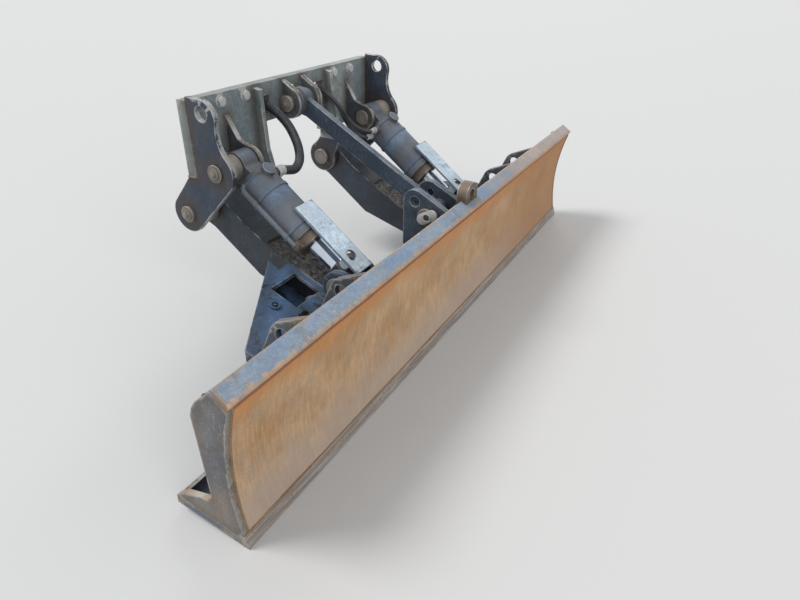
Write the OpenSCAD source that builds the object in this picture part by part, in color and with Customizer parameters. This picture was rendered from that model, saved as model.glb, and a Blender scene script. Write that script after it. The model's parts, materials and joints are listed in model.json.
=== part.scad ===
/* [Reach] */
// Distance from the chassis face to the cutting edge
reach = 830; // [800:5:880]
// Height of the mount's centre over the ground
mount_h = 720; // [710:5:730]

/* [Blade] */
// Width of the blade
blade_w = 2500; // [2300:10:2750]
// Height of the face's top edge
face_h = 468; // [455:1:490]
// How far the top edge leans ahead of the cutting edge
face_lean = 14; // [5:1:25]
// Depth of the face's hollow
face_sag = 35; // [25:1:45]
// Thickness of the face plate
face_t = 14; // [10:1:18]
// Depth of the blade's body behind the cutting edge
body_d = 118; // [110:1:124]
// Thickness of the back plate
back_t = 10; // [6:1:12]
// Thickness of each end plate
end_t = 16; // [10:1:20]
// Width of the flat top rail
rail_w = 57; // [50:1:60]
// Thickness of the top rail
rail_t = 20; // [14:1:24]
// Slope of the top rail
rail_tilt = 32; // [25:1:36]
// Height of the cutting edge bar
edge_h = 40; // [30:1:50]
// Thickness of the cutting edge bar
edge_t = 20; // [18:1:26]
// How far the cutting edge stands in front of the face plate
edge_step = 4; // [2:1:6]
// Reach of the foot plate behind the cutting edge
foot_d = 243; // [225:1:250]
// Thickness of the foot plate
foot_t = 24; // [18:1:28]
// Height of the foot plate's rear edge over the ground
foot_rise = 30; // [25:1:34]
// Height of the bent lip along the foot's rear edge
lip_h = 36; // [25:1:40]
// Thickness of the bent lip
lip_t = 12; // [8:1:14]

/* [Blade lugs] */
// Distance from the cutting edge back to the lower pivot
pivot_back = 250; // [245:1:262]
// Height of the lower pivot
pivot_h = 115; // [112:1:125]
// Place of the inner pivot lug
lug_in_x = 605; // [590:1:620]
// Place of the outer pivot lug
lug_out_x = 883; // [870:1:900]
// Thickness of each pivot lug
lug_t = 24; // [20:1:28]
// Radius of the pivot lug round its pin
lug_r = 58; // [54:1:62]
// Radius of the tie-down lobe at the top of a pivot lug
tie_r = 44; // [40:1:48]
// Radius of the tie-down hole
tie_hole_r = 25; // [20:1:27]
// Half the gap between the link lugs
link_gap = 45; // [44:1:50]
// Thickness of each link lug
link_lug_t = 25; // [20:1:28]
// Width of the lifting eye
eye_w = 96; // [84:1:104]
// Thickness of the lifting eye
eye_t = 40; // [30:1:44]
// Radius of the lifting eye's hole
eye_hole_r = 22; // [18:1:22]

/* [Arms] */
// Inner face of a lower arm
arm_in_x = 290; // [280:1:300]
// Outer face of a lower arm
arm_out_x = 440; // [430:1:450]
// How far the arm's root pin lies behind the chassis face
root_back = 35; // [20:1:45]
// How far the arm's root pin lies under the mount's centre
root_drop = 275; // [265:1:285]
// Radius of the arm's root eye
root_eye_r = 74; // [68:1:80]
// Depth of the arm's belly under the line of its pins
belly = 105; // [90:1:112]
// Height of the arm's top over the line of its pins
arm_top = 40; // [34:1:44]
// Radius of the pivot tube at the arm's front
tube_r = 50; // [46:1:52]
// Radius of the arm's pivot pins
pin_r = 30; // [26:1:34]
// Slope of the flared plate beside the arm
flare_tilt = 21; // [20:1:23]
// Height of the flared plate over the lower pivot
flare_lift = 94; // [88:1:98]
// Thickness of the flared plate and its sides
flare_t = 12; // [8:1:14]

/* [Link] */
// How far the link's pins lie ahead of the arm's pins
link_fore = 104; // [100:1:110]
// How far the link's root pin lies under the bracket's top
link_drop = 91; // [87:1:95]
// Half the width of the link
link_half = 14; // [12:1:20]
// Height of the link's top over its pins
link_top = 34; // [30:1:38]
// Depth of the link's underside below its pins
link_low = 32; // [28:1:36]
// Radius of the link's pins
link_pin_r = 24; // [20:1:28]
// Radius of the link's eye at the bracket
link_eye_r = 50; // [46:1:54]
// Radius of the link's eye at the blade
link_tip_r = 40; // [36:1:41]

/* [Cylinders] */
// Distance of each cylinder from the middle
cyl_x = 418; // [412:1:424]
// How far the cylinder's base pin lies ahead of the chassis face
base_fore = 130; // [125:1:140]
// How far the cylinder's base pin lies under the mount's centre
base_drop = 96; // [88:1:104]
// Height of the rod's pin over the lower pivot
rod_rise = 176; // [170:1:180]
// Outer radius of the barrel
barrel_r = 69; // [64:1:71]
// Radius of the rod
rod_r = 31; // [26:1:34]
// Length from the base pin to the gland's face
gland_end = 377; // [370:1:385]
// Length of the gland
gland_len = 34; // [28:1:40]
// Half the width of the cylinder's eyes
eye_half = 35; // [31:1:38]
// Radius of the cylinder's pins
cyl_pin_r = 25; // [22:1:28]
// Width of the rod guard
guard_w = 90; // [84:1:92]
// Length of the rod guard
guard_len = 304; // [290:1:310]
// Thickness of the rod guard
guard_t = 8; // [6:1:9]
// Gap between the barrel and the guard
guard_gap = 9; // [7:1:12]

/* [Bracket] */
// Width of the bolted plate
plate_w = 1080; // [1060:2:1100]
// Half the height of the bolted plate
plate_half = 128; // [122:1:132]
// Thickness of the bolted plate
plate_t = 38; // [32:1:42]
// Place of the inner column of bolts
bolt_in_x = 270; // [264:1:276]
// Place of the outer column of bolts
bolt_out_x = 390; // [384:1:396]
// Radius of the bolt holes
bolt_hole_r = 11; // [9:0.5:12]
// Height of the two rows of bolts over and under the mount's centre
bolt_rise = 99; // [94:1:104]
// Thickness of the outer ears
ear_t = 20; // [16:1:24]
// Radius of the outer ear round the base pin
ear_r = 77; // [72:1:80]
// Radius of the lobe at the top of an outer ear
ear_lobe_r = 60; // [54:1:64]
// Radius of the hole at the top of an outer ear
ear_hole_r = 24; // [20:1:26]
// Thickness of the inner ears, root legs and ribs
rib_t = 20; // [16:1:24]

/* [Hidden] */
$fn = 64;

// Clearances: seated faces, pins that turn, the opened pins and faces that slide by
seat = 0.3;
fit = 0.05;
side_gap = 5;
open_gap = 0.5;
// How far joined outlines reach into each other
lap = 0.1;

// Colours
paint = [0.22, 0.26, 0.30];
dark_paint = [0.15, 0.18, 0.22];
rusty = [0.55, 0.36, 0.20];
worn = [0.55, 0.62, 0.68];
bare = [0.45, 0.44, 0.46];

// Pins, each as [back from the cutting edge, height over the ground]
root = [reach + root_back, mount_h - root_drop];
pivot = [pivot_back, pivot_h];
link_root = [root[0] - link_fore, mount_h + plate_half - link_drop];
link_front = pivot + link_root - root;
base = [reach - base_fore, mount_h - base_drop];
rod_pin = pivot + [0, rod_rise];
arm_tilt = atan2(root[1] - pivot[1], root[0] - pivot[0]);
arm_len = norm(root - pivot);
cyl_tilt = atan2(base[1] - rod_pin[1], base[0] - rod_pin[0]);
cyl_len = norm(base - rod_pin);

// Blade section: the hollow of the face is an arc through its top edge and the cutting edge
face_top = [-face_lean, face_h];
chord = norm(face_top);
face_r = (chord * chord / 4 + face_sag * face_sag) / (2 * face_sag);
face_mid = face_top / 2;
face_c = face_mid - [face_h, face_lean] / chord * (face_r - face_sag);
rail_dir = [cos(rail_tilt), sin(rail_tilt)];
rail_down = [sin(rail_tilt), -cos(rail_tilt)];
rail_rear = face_top + rail_w * rail_dir;
rail_foot_a = face_top + rail_t * rail_down;
rail_foot_b = rail_rear + rail_t * rail_down;
back_knee = [body_d - 38, face_h - 16];
back_high = [body_d, face_h - 83];
back_low = [body_d - 14, 120];
back_foot = [body_d - 16, 30];
foot_tilt = atan2(foot_rise, foot_d);

// Bracket
face_y = reach;
plate_y = reach - plate_t;
top_z = mount_h + plate_half;
low_z = mount_h - plate_half;
ear_x = plate_w / 2 - ear_t;
ear_top_hole = [reach - 102, mount_h + 95];
ear_lobe = ear_top_hole + [3, -14];
waist_r = 120;

// Helpers. A side outline is drawn as [back, up] and is given its width along the blade.
module side(x0, x1) {
    translate([x0, 0, 0])
        rotate([90, 0, 90])
            linear_extrude(x1 - x0)
                children();
}

// A pair of like pieces, one on each side
module both() {
    children();
    mirror([1, 0, 0])
        children();
}

// Sets an outline of [along, up] on the line from p, running forward and down at the tilt
module laid(p, tilt) {
    translate(p)
        rotate(180 + tilt)
            mirror([0, 1])
                children();
}

// Sets a solid with its Z along a line from p that runs forward and down at the tilt
module aimed(x, p, tilt) {
    translate([x, p[0], p[1]])
        rotate([90 + tilt, 0, 0])
            children();
}

// A round bar along the blade
module bar(x0, x1, p, r) {
    translate([x0, p[0], p[1]])
        rotate([0, 90, 0])
            cylinder(r = r, h = x1 - x0);
}

function tangents(p, rp, q, rq) =
    let (d = q - p, a = atan2(d[1], d[0]), b = acos((rp - rq) / norm(d)))
    [p + rp * [cos(a - b), sin(a - b)],
     q + rq * [cos(a - b), sin(a - b)],
     q + rq * [cos(a + b), sin(a + b)],
     p + rp * [cos(a + b), sin(a + b)]];

// Two rounds joined by their tangents
module belt(p, rp, q, rq) {
    polygon(tangents(p, rp - lap, q, rq - lap));
    translate(p)
        circle(rp);
    translate(q)
        circle(rq);
}

// The point at the distance rp from p and rq from q, to the right of the way from p to q
function reached(p, rp, q, rq) =
    let (d = q - p, n = norm(d), a = (n * n + rp * rp - rq * rq) / (2 * n), h = sqrt(rp * rp - a * a))
    p + (a * d + h * [d[1], -d[0]]) / n;

// A plate's section along a run of points
module strip(pts, t) {
    for (i = [0 : len(pts) - 2]) {
        d = (pts[i + 1] - pts[i]) / norm(pts[i + 1] - pts[i]);
        n = [-d[1], d[0]] * t / 2;
        polygon([pts[i] + n, pts[i] - n, pts[i + 1] - n, pts[i + 1] + n]);
    }
    for (i = [1 : len(pts) - 2])
        translate(pts[i])
            circle(t / 2, $fn = 32);
}

// The hollow in front of the blade, as a disc
module hollow(extra) {
    translate(face_c)
        circle(face_r + extra, $fn = 360);
}

// Everything that lies at least the gap under the top rail
module under_rail(gap) {
    p = rail_foot_a + gap * rail_down;
    polygon([[-200, -100], [400, -100], p + 400 * rail_dir, p - 200 * rail_dir]);
}

// Carrier bracket
module plate_outline() {
    difference() {
        translate([-plate_w / 2, low_z])
            square([plate_w, top_z - low_z]);
        translate([-notch_half, low_z - 1])
            square([2 * notch_half, notch_z - low_z + 1]);
        translate([-link_slot, low_z])
            square([2 * link_slot, link_root[1] + link_eye_r + 6 - low_z]);
        for (x = [-window_x, window_x])
            translate([x - window_w / 2, window_z])
                square([window_w, window_h]);
        for (s = [-1, 1], x = [bolt_in_x, bolt_out_x], z = [-bolt_rise, bolt_rise])
            translate([s * x, mount_h + z])
                circle(bolt_hole_r);
    }
}
notch_half = 190;
link_slot = link_gap + 3;
notch_z = mount_h - 15;
window_x = 168;
window_w = 56;
window_h = 64;
window_z = mount_h + 14;

module bracket_plate() {
    color(paint)
        translate([0, face_y, 0])
            rotate([90, 0, 0])
                linear_extrude(plate_t)
                    plate_outline();
}

rib_x = 217;
rib_top = 32;
rib_waist = 44;
rib_foot = 62;
rib_drop = 40;
module bracket_ribs() {
    color(paint)
        both()
            side(rib_x - rib_t / 2, rib_x + rib_t / 2)
                polygon([[plate_y, top_z - 10], [plate_y - rib_top, top_z - 16],
                    [plate_y - rib_waist, low_z + 30], [plate_y - rib_foot, low_z - rib_drop],
                    [face_y - 4, low_z - rib_drop], [face_y - 4, low_z - seat], [plate_y, low_z - seat]]);
}

// The front edge swings in between the lobe and the round at the base pin
module outer_ear() {
    waist = reached(ear_lobe, ear_lobe_r + waist_r - lap, base, ear_r + waist_r - lap);
    difference() {
        union() {
            belt(base, ear_r, root, root_ear_r);
            difference() {
                polygon([ear_lobe, waist, base]);
                translate(waist)
                    circle(waist_r, $fn = 128);
            }
            polygon([ear_lobe, base, [plate_y - seat, low_z], [plate_y - seat, ear_lobe[1]]]);
            translate(ear_lobe)
                circle(ear_lobe_r);
            translate(ear_lobe - [0, ear_hole_r])
                square([plate_y - seat - ear_lobe[0], ear_hole_r + ear_lobe_r - lap]);
        }
        translate(ear_top_hole)
            circle(ear_hole_r);
        translate(base)
            circle(cyl_pin_r + seat);
        translate(root)
            circle(pin_r + seat);
        translate([plate_y - seat, low_z - seat])
            square([300, 400]);
    }
}
root_ear_r = 68;

module outer_ear_solid() {
    color(dark_paint)
        side(ear_x, ear_x + ear_t)
            outer_ear();
}
module outer_ear_right() {
    outer_ear_solid();
}
module outer_ear_left() {
    mirror([1, 0, 0])
        outer_ear_solid();
}

inner_ear_x = cyl_x - eye_half - side_gap - rib_t;
inner_ear_r = 54;
inner_ear_high = [plate_y - seat, mount_h + 56];
inner_ear_sweep = 110;
module inner_ears() {
    swung = reached(inner_ear_high, inner_ear_sweep, base, inner_ear_r + inner_ear_sweep - lap);
    color(dark_paint)
        both()
            side(inner_ear_x, inner_ear_x + rib_t)
                difference() {
                    union() {
                        translate(base)
                            circle(inner_ear_r);
                        polygon([base + [20, 4 - inner_ear_r], [plate_y - seat, low_z + 4],
                            inner_ear_high, base]);
                        difference() {
                            polygon([base, inner_ear_high, swung]);
                            translate(swung)
                                circle(inner_ear_sweep, $fn = 128);
                        }
                    }
                    translate(base)
                        circle(cyl_pin_r + seat);
                }
}

leg_x = arm_in_x - side_gap - rib_t;
module root_legs() {
    color(dark_paint)
        both()
            side(leg_x, leg_x + rib_t)
                difference() {
                    union() {
                        translate(root)
                            circle(root_ear_r);
                        polygon([root + [66, 14], [face_y, low_z - seat], [plate_y - seat, low_z - seat],
                            [plate_y - seat, low_z + 10], [plate_y - 40, low_z + 4],
                            [plate_y - 40, low_z - 30], root + [-66, 14]]);
                    }
                    translate(root)
                        circle(pin_r + seat);
                }
}

centre_ear_r = 58;
module centre_ears() {
    color(dark_paint)
        both()
            side(link_gap, link_gap + link_lug_t)
                difference() {
                    union() {
                        translate(link_root)
                            circle(centre_ear_r);
                        polygon([link_root + [0, -centre_ear_r], [plate_y - seat, notch_z],
                            [plate_y - seat, top_z - 6], link_root + [-38, 44]]);
                    }
                    translate(link_root)
                        circle(link_pin_r + seat);
                    translate([plate_y - seat, low_z])
                        square([200, 400]);
                }
}

module link_root_pin() {
    w = link_gap + link_lug_t;
    color(worn) {
        bar(-w - 4, w + 4, link_root, link_pin_r);
        bar(-w - 16, -w - seat, link_root, link_pin_r + 6);
        bar(w + seat, w + 16, link_root, link_pin_r + 6);
    }
}

module base_pins() {
    color(worn)
        both() {
            bar(inner_ear_x - 4, ear_x + ear_t + 6, base, cyl_pin_r);
            bar(inner_ear_x - 10, inner_ear_x - seat, base, cyl_pin_r + 6);
            bar(cyl_x + eye_half + side_gap, ear_x - seat, base, cyl_pin_r + 22);
            bar(ear_x + ear_t + seat, ear_x + ear_t + 6, base, cyl_pin_r + 6);
        }
}

module root_pins() {
    color(worn)
        both() {
            bar(leg_x - 10, ear_x + ear_t + 8, root, pin_r);
            bar(leg_x - 14, leg_x - seat, root, pin_r + 4);
            bar(arm_out_x + side_gap, ear_x - seat, root, pin_r + 24);
        }
}

// Lower arms
module arm_outline() {
    difference() {
        union() {
            laid(root, arm_tilt) {
                circle(root_eye_r);
                polygon([[0, root_eye_r], [150, arm_top + 6], [260, arm_top], [arm_len - 40, arm_top],
                    [arm_len - 40, -tube_r], [arm_len - 160, -tube_r], [300, -belly],
                    [50, -root_eye_r + 4], [0, -root_eye_r]]);
            }
        }
        translate(root)
            circle(pin_r + fit);
    }
}

// The arm's top is sunk between its side plates
module arm_solid() {
    color(paint) {
        difference() {
            side(arm_in_x, arm_out_x)
                arm_outline();
            aimed(arm_in_x + arm_wall, root, arm_tilt)
                translate([0, arm_top - trough_d, trough_start])
                    cube([arm_out_x - arm_in_x - 2 * arm_wall, arm_top, trough_end - trough_start]);
        }
        side(cyl_x - clevis_half - clevis_t, cyl_x - clevis_half)
            clevis_outline();
    }
}
arm_wall = 12;
trough_d = 14;
trough_start = 270;
trough_end = 500;
clevis_half = 51;
clevis_t = 22;
clevis_r = 66;

module clevis_outline() {
    difference() {
        union() {
            translate(rod_pin)
                circle(clevis_r);
            polygon([pivot + [-44, 30], pivot + [-30, 0], pivot + [150, 74], rod_pin + [150, -80],
                rod_pin + [56, -34], rod_pin + [-52, -40]]);
        }
        translate(rod_pin)
            circle(cyl_pin_r + open_pin);
        translate(rod_pin)
            rotate(cyl_tilt)
                translate([clevis_front, -barrel_r - 12])
                    square([200, 300]);
    }
}
open_pin = 13;
clevis_front = 70;

module arm_right() {
    arm_solid();
}
module arm_left() {
    mirror([1, 0, 0])
        arm_solid();
}

// Flared box from the arm out to the pivot tube
flare_in = arm_out_x + seat;
flare_out = lug_out_x - lug_t / 2 - side_gap - 3;
slot_x = lug_in_x - lug_t / 2 - 8;
slot_w = lug_t + 16;
slot_d = lug_r + 18;
flare_apex = [flare_in, pivot_back + 330];
flare_tip = [flare_out, pivot_back + 85];
flare_front = pivot_back - 20;

module flare_plan() {
    polygon([[flare_in, flare_front], [flare_out, flare_front], flare_tip, flare_apex]);
}

module flare_slot() {
    translate([slot_x, 0])
        square([slot_w, pivot_back + slot_d]);
}

// A slab with its top at the flare's slope, from one depth under it to another
module flare_slab(d0, d1) {
    translate([0, pivot_back, pivot_h + flare_lift])
        rotate([flare_tilt, 0, 0])
            translate([0, -foot_d, -d1])
                cube([blade_w / 2, reach + foot_d, d1 - d0]);
}

// A plan carried straight up and cut to such a slab
module flare_layer(d0, d1) {
    intersection() {
        translate([0, 0, -mount_h])
            linear_extrude(2 * mount_h)
                children();
        flare_slab(d0, d1);
    }
}

box_d = 105;
well_side = 112;
well_w = 125;
well_start = 100;
well_l = 105;
drain_side = 25;
drain_start = 145;
drain_r = 11;
skirt_back = [-60, 34];
floor_side = 14;
floor_l = 35;
cheek_l = 90;
cheek_nose = 10;

// The box's top with its well and drain, its outer skirt and its floor
module flare_box() {
    flare_layer(0, flare_t)
        difference() {
            flare_plan();
            flare_slot();
            translate([slot_x - well_side, pivot_back + well_start])
                square([well_w, well_l]);
            translate([slot_x + slot_w + drain_side, pivot_back + drain_start])
                circle(drain_r);
        }
    flare_layer(2, box_d)
        intersection() {
            flare_plan();
            strip([flare_apex + skirt_back, flare_tip, flare_tip - [0, foot_d]], 2 * flare_t);
        }
    flare_layer(box_d - 5, box_d - 5 + flare_t)
        difference() {
            flare_plan();
            flare_slot();
            translate([flare_in + floor_side, flare_front - 1])
                square([slot_x - flare_in - floor_side, slot_d + floor_l]);
            translate([flare_in - 1, flare_front - 1])
                square([floor_side + 2, tube_r - floor_side]);
        }
}

// Height over the pivot of the middle of the box's top, at a distance behind the pivot
function flare_over(d) = flare_lift + d * tan(flare_tilt) - flare_t / 2;

module flare_solid() {
    color(worn)
        difference() {
            union() {
                flare_box();
                bar(slot_x + slot_w, flare_out, pivot, tube_r);
                for (x = [slot_x - flare_t, slot_x + slot_w])
                    side(x, x + flare_t)
                        polygon([pivot + [-cheek_nose, -20], pivot + [cheek_l, -flare_t],
                            pivot + [cheek_l, flare_over(cheek_l)],
                            pivot + [-cheek_nose, flare_over(-cheek_nose)]]);
                side(cyl_x + clevis_half, cyl_x + clevis_half + clevis_t)
                    clevis_outline();
            }
            bar(flare_in - tube_r, flare_out + tube_r, pivot, pin_r + fit);
            side(arm_in_x, flare_in)
                square([reach, 2 * mount_h]);
        }
}
module flare_right() {
    flare_solid();
}
module flare_left() {
    mirror([1, 0, 0])
        flare_solid();
}

// Upper link
module upper_link() {
    color(dark_paint)
        difference() {
            union() {
                side(-link_half, link_half)
                    laid(link_root, arm_tilt) {
                        circle(link_eye_r);
                        translate([arm_len, 0])
                            circle(link_tip_r);
                        polygon([[0, link_eye_r], [40, link_top], [arm_len - 60, link_top], [arm_len, link_tip_r],
                            [arm_len, -link_tip_r], [arm_len - 60, -link_low], [60, -link_low],
                            [0, -link_eye_r]]);
                    }
                bar(-link_gap + side_gap / 2, link_gap - side_gap / 2, link_root, link_eye_r - 8);
                bar(-link_gap + side_gap / 2, link_gap - side_gap / 2, link_front, link_tip_r - 4);
            }
            bar(-link_gap, link_gap, link_root, link_pin_r + fit);
            bar(-link_gap, link_gap, link_front, link_pin_r + open_gap);
        }
}

// Cylinders
barrel_top = 62;
barrel_slope = 22;
barrel_floor = 50;
base_eye_r = 50;
neck_half = 38;
top_port_r = 24;
top_port_h = 17;
port_r = 14;
port_out = 16;
port_s = 88;

// The ports, each by its height over the cylinder's axis: one on the left, two on the right
left_ports = [17];
right_ports = [17, -18];
module barrel_solid(ports) {
    color(paint)
        difference() {
            union() {
                side(cyl_x - eye_half, cyl_x + eye_half)
                    laid(base, cyl_tilt) {
                        circle(base_eye_r);
                        translate([0, -neck_half])
                            square([barrel_top + 10, 2 * neck_half]);
                    }
                aimed(cyl_x, base, cyl_tilt) {
                    translate([0, 0, barrel_top])
                        cylinder(r1 = barrel_r - barrel_slope + 4, r2 = barrel_r, h = barrel_slope);
                    translate([0, 0, barrel_top + barrel_slope])
                        cylinder(r = barrel_r, h = gland_end - gland_len - seat - barrel_top - barrel_slope);
                    translate([0, 0, port_s + 8])
                        rotate([-90, 0, 0])
                            cylinder(r = top_port_r, h = barrel_r + top_port_h);
                    for (h = ports)
                        translate([-barrel_r - port_out, h, port_s])
                            rotate([0, 90, 0])
                                cylinder(r = port_r, h = barrel_r + port_out);
                }
            }
            bar(cyl_x - 60, cyl_x + 60, base, cyl_pin_r + fit);
            aimed(cyl_x, base, cyl_tilt)
                translate([0, 0, port_s + top_port_r + 10])
                    cylinder(r = barrel_r - 12, h = gland_end);
        }
}
module barrel_right() {
    barrel_solid(right_ports);
}
module barrel_left() {
    mirror([1, 0, 0])
        barrel_solid(left_ports);
}

module gland_solid() {
    color([0.35, 0.31, 0.26])
        aimed(cyl_x, base, cyl_tilt)
            translate([0, 0, gland_end - gland_len])
                difference() {
                    union() {
                        cylinder(r = barrel_r - 6, h = gland_len);
                        translate([35, -16, 0])
                            cube([46, 32, 18]);
                    }
                    translate([0, 0, -1])
                        cylinder(r = rod_r + seat, h = gland_len + 2);
                }
}
module gland_right() {
    gland_solid();
}
module gland_left() {
    mirror([1, 0, 0])
        gland_solid();
}

module pipe_solid() {
    color(paint)
        aimed(cyl_x, base, cyl_tilt)
            translate([barrel_r + 12, 0, barrel_top + 40])
                cylinder(r = 8, h = gland_end - gland_len - seat - barrel_top - 40, $fn = 24);
}
module pipe_right() {
    pipe_solid();
}
module pipe_left() {
    mirror([1, 0, 0])
        pipe_solid();
}

rod_eye_r = 46;
block_start = cyl_len - 75;
block_half = 36;
rod_in = 150;
module rod_solid() {
    color(worn)
        difference() {
            union() {
                side(cyl_x - eye_half, cyl_x + eye_half)
                    laid(base, cyl_tilt) {
                        translate([cyl_len, 0])
                            circle(rod_eye_r);
                        translate([block_start, -block_half])
                            square([cyl_len - block_start, 2 * block_half]);
                    }
                aimed(cyl_x, base, cyl_tilt) {
                    translate([0, 0, gland_end - rod_in])
                        cylinder(r = rod_r, h = block_start - gland_end + rod_in + 1);
                    translate([0, 0, gland_end - rod_in])
                        cylinder(r = barrel_r - 13, h = 50);
                }
            }
            bar(cyl_x - 60, cyl_x + 60, rod_pin, cyl_pin_r + seat);
        }
}
module rod_right() {
    rod_solid();
}
module rod_left() {
    mirror([1, 0, 0])
        rod_solid();
}

guard_end = cyl_len + 8;
guard_hole_s = cyl_len - 60;
guard_hole_r = 17;
module guard_solid() {
    color([0.72, 0.78, 0.84])
        aimed(cyl_x, base, cyl_tilt) {
            difference() {
                translate([-guard_w / 2, barrel_r + guard_gap, guard_end - guard_len])
                    cube([guard_w, guard_t, guard_len]);
                for (c = [[0, 0, guard_hole_r], [8, 10, guard_hole_r - 5]])
                    translate([c[0], barrel_r, guard_hole_s + c[1]])
                        rotate([-90, 0, 0])
                            cylinder(r = c[2], h = guard_gap + 2 * guard_t);
            }
            for (x = [-30, 20])
                translate([x, block_half + seat, block_start + 6])
                    cube([10, barrel_r + guard_gap - block_half, 36]);
        }
}
module guard_right() {
    guard_solid();
}
module guard_left() {
    mirror([1, 0, 0])
        guard_solid();
}

module rod_pin_solid() {
    w = clevis_half + clevis_t;
    color(worn) {
        bar(cyl_x - w - 6, cyl_x + w + 6, rod_pin, cyl_pin_r);
        bar(cyl_x - w - 12, cyl_x - w - 3, rod_pin, cyl_pin_r + open_pin + 8);
        bar(cyl_x + w + 3, cyl_x + w + 12, rod_pin, cyl_pin_r + open_pin + 8);
    }
}
module rod_pin_right() {
    rod_pin_solid();
}
module rod_pin_left() {
    mirror([1, 0, 0])
        rod_pin_solid();
}

// Blade
inner_half = blade_w / 2 - end_t;
module face_plate() {
    color(rusty)
        side(-inner_half + seat, inner_half - seat)
            intersection() {
                difference() {
                    hollow(edge_step + face_t);
                    hollow(edge_step);
                }
                under_rail(seat);
                translate([-60, edge_h + seat])
                    square([400, 1000]);
            }
}

module back_plate() {
    color(dark_paint)
        side(-inner_half + seat, inner_half - seat)
            intersection() {
                difference() {
                    polygon(concat([[-200, 30], back_foot], back_line(0), [[-200, 600]]));
                    polygon(concat([[-300, 0], back_foot - [back_t, 50]], back_line(-back_t), [[-300, 700]]));
                    foot_line(foot_t + seat, face_h);
                }
                under_rail(seat);
            }
}

// The blade's rear outline from its foot to the rail, moved out by d
function back_line(d) = let (p = [back_foot, back_low, back_high, back_knee, rail_foot_b + [-16, 20]])
    [for (i = [1 : 3]) corner(p[i - 1], p[i], p[i + 1], d)];
function corner(a, b, c, d) = let (u = unit(b - a), v = unit(c - b), m = [u[1] + v[1], -u[0] - v[0]])
    b + m * d / (1 + u * v);

// A region under the line of the foot plate's top
module foot_line(h, low) {
    rotate(foot_tilt)
        translate([-100, h - low])
            square([600, low]);
}

module top_rail() {
    color(worn)
        difference() {
            side(-blade_w / 2, blade_w / 2)
                polygon([rail_foot_a, rail_foot_b, rail_rear, face_top]);
            translate([eye_x - eye_w / 2 - seat, face_top[0] + eye_back - seat, face_h - eye_w])
                cube([eye_w + 2 * seat, eye_w, 2 * eye_w]);
        }
}

module cutting_edge() {
    color(bare)
        side(-blade_w / 2, blade_w / 2)
            intersection() {
                difference() {
                    hollow(edge_t);
                    hollow(0);
                }
                translate([-60, 0])
                    square([400, edge_h]);
            }
}

lip_gap_in = arm_in_x - 30;
lip_gap_out = lug_out_x + lug_t / 2 + 10;
module foot_plate() {
    color(dark_paint) {
        side(-blade_w / 2, blade_w / 2)
            difference() {
                rotate(foot_tilt)
                    square([foot_d / cos(foot_tilt), foot_t]);
                hollow(edge_t + seat);
            }
        for (r = [[-inner_half + seat, -lip_gap_out], [-lip_gap_in, lip_gap_in],
                [lip_gap_out, inner_half - seat]])
            side(r[0], r[1])
                rotate(foot_tilt)
                    translate([foot_d / cos(foot_tilt), 0])
                        polygon([[-lip_t, foot_t - 1], [0, foot_t - 1], [-lip_h * 0.6, foot_t + lip_h],
                            [-lip_h * 0.6 - lip_t, foot_t + lip_h]]);
    }
}

module end_plate_solid() {
    color(dark_paint)
        side(inner_half, blade_w / 2)
            difference() {
                intersection() {
                    polygon([[-60, 0], [foot_d, foot_rise], [foot_d, foot_rise + foot_t],
                        [foot_d - 32, foot_rise + foot_t + lip_h - 6], [body_d + 4, 111], back_low + [0, 8],
                        back_high + [0, 2], back_high + [-9, 29], back_knee + [12, -12],
                        rail_foot_b + [2, 0], rail_foot_b + [-100, 60]]);
                    under_rail(seat);
                }
                hollow(edge_step);
                foot_line(foot_t + seat, face_h);
                intersection() {
                    hollow(edge_t + seat);
                    translate([-60, -1])
                        square([400, edge_h + seat + 1]);
                }
            }
}
module end_plate_right() {
    end_plate_solid();
}
module end_plate_left() {
    mirror([1, 0, 0])
        end_plate_solid();
}

tie = [body_d + 32, face_h - 92];
tie_start = back_knee + [-20, 13];
module pivot_lugs() {
    color(dark_paint)
        both()
            for (x = [lug_in_x, lug_out_x])
                side(x - lug_t / 2, x + lug_t / 2)
                    difference() {
                        union() {
                            belt(tie, tie_r, pivot, lug_r);
                            polygon([back_high, back_low, [back_foot[0], 52], pivot + [-20, -52], pivot, tie,
                                tangents(tie_start, 0, tie, tie_r - lap)[2], tie_start]);
                        }
                        translate(tie)
                            circle(tie_hole_r);
                        translate(pivot)
                            circle(pin_r + seat);
                        back_fill();
                        foot_line(foot_t + seat, face_h);
                    }
}

// The space that the blade's body takes, which what is welded to its back leaves free
module back_fill() {
    polygon(concat([[-body_d, -foot_d], back_foot + [seat, -foot_d], back_foot + [seat, 0]], back_line(seat),
        [rail_foot_b + seat * rail_dir, rail_rear + seat * rail_dir, [-body_d, 2 * face_h]]));
}

hook = link_front + [52, 49];
hook_r = 46;
module link_lugs() {
    color(dark_paint)
        both()
            side(link_gap, link_gap + link_lug_t)
                difference() {
                    union() {
                        translate(hook)
                            circle(hook_r);
                        polygon([back_high, back_low + [0, 40], back_low + [76, 70], hook + [hook_r, -176],
                            hook + [hook_r, 0], hook + [10, hook_r - 2], hook + [-20, hook_r - 5],
                            back_knee + [-14, 10]]);
                    }
                    translate(hook)
                        circle(20);
                    translate(link_front)
                        circle(link_pin_r + seat);
                    back_fill();
                }
}

module link_front_pin() {
    w = link_gap + link_lug_t;
    color(worn) {
        bar(-w - 4, w + 4, link_front, link_pin_r);
        bar(-w - 12, -w - seat, link_front, link_pin_r + 10);
        bar(w + seat, w + 12, link_front, link_pin_r + 10);
    }
}

module pivot_pins() {
    color(worn)
        both() {
            bar(lug_in_x - lug_t / 2 - 8, lug_out_x + lug_t / 2 + 10, pivot, pin_r);
            bar(lug_out_x + lug_t / 2 + seat, lug_out_x + lug_t / 2 + 10, pivot, pin_r + 12);
        }
}

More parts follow.
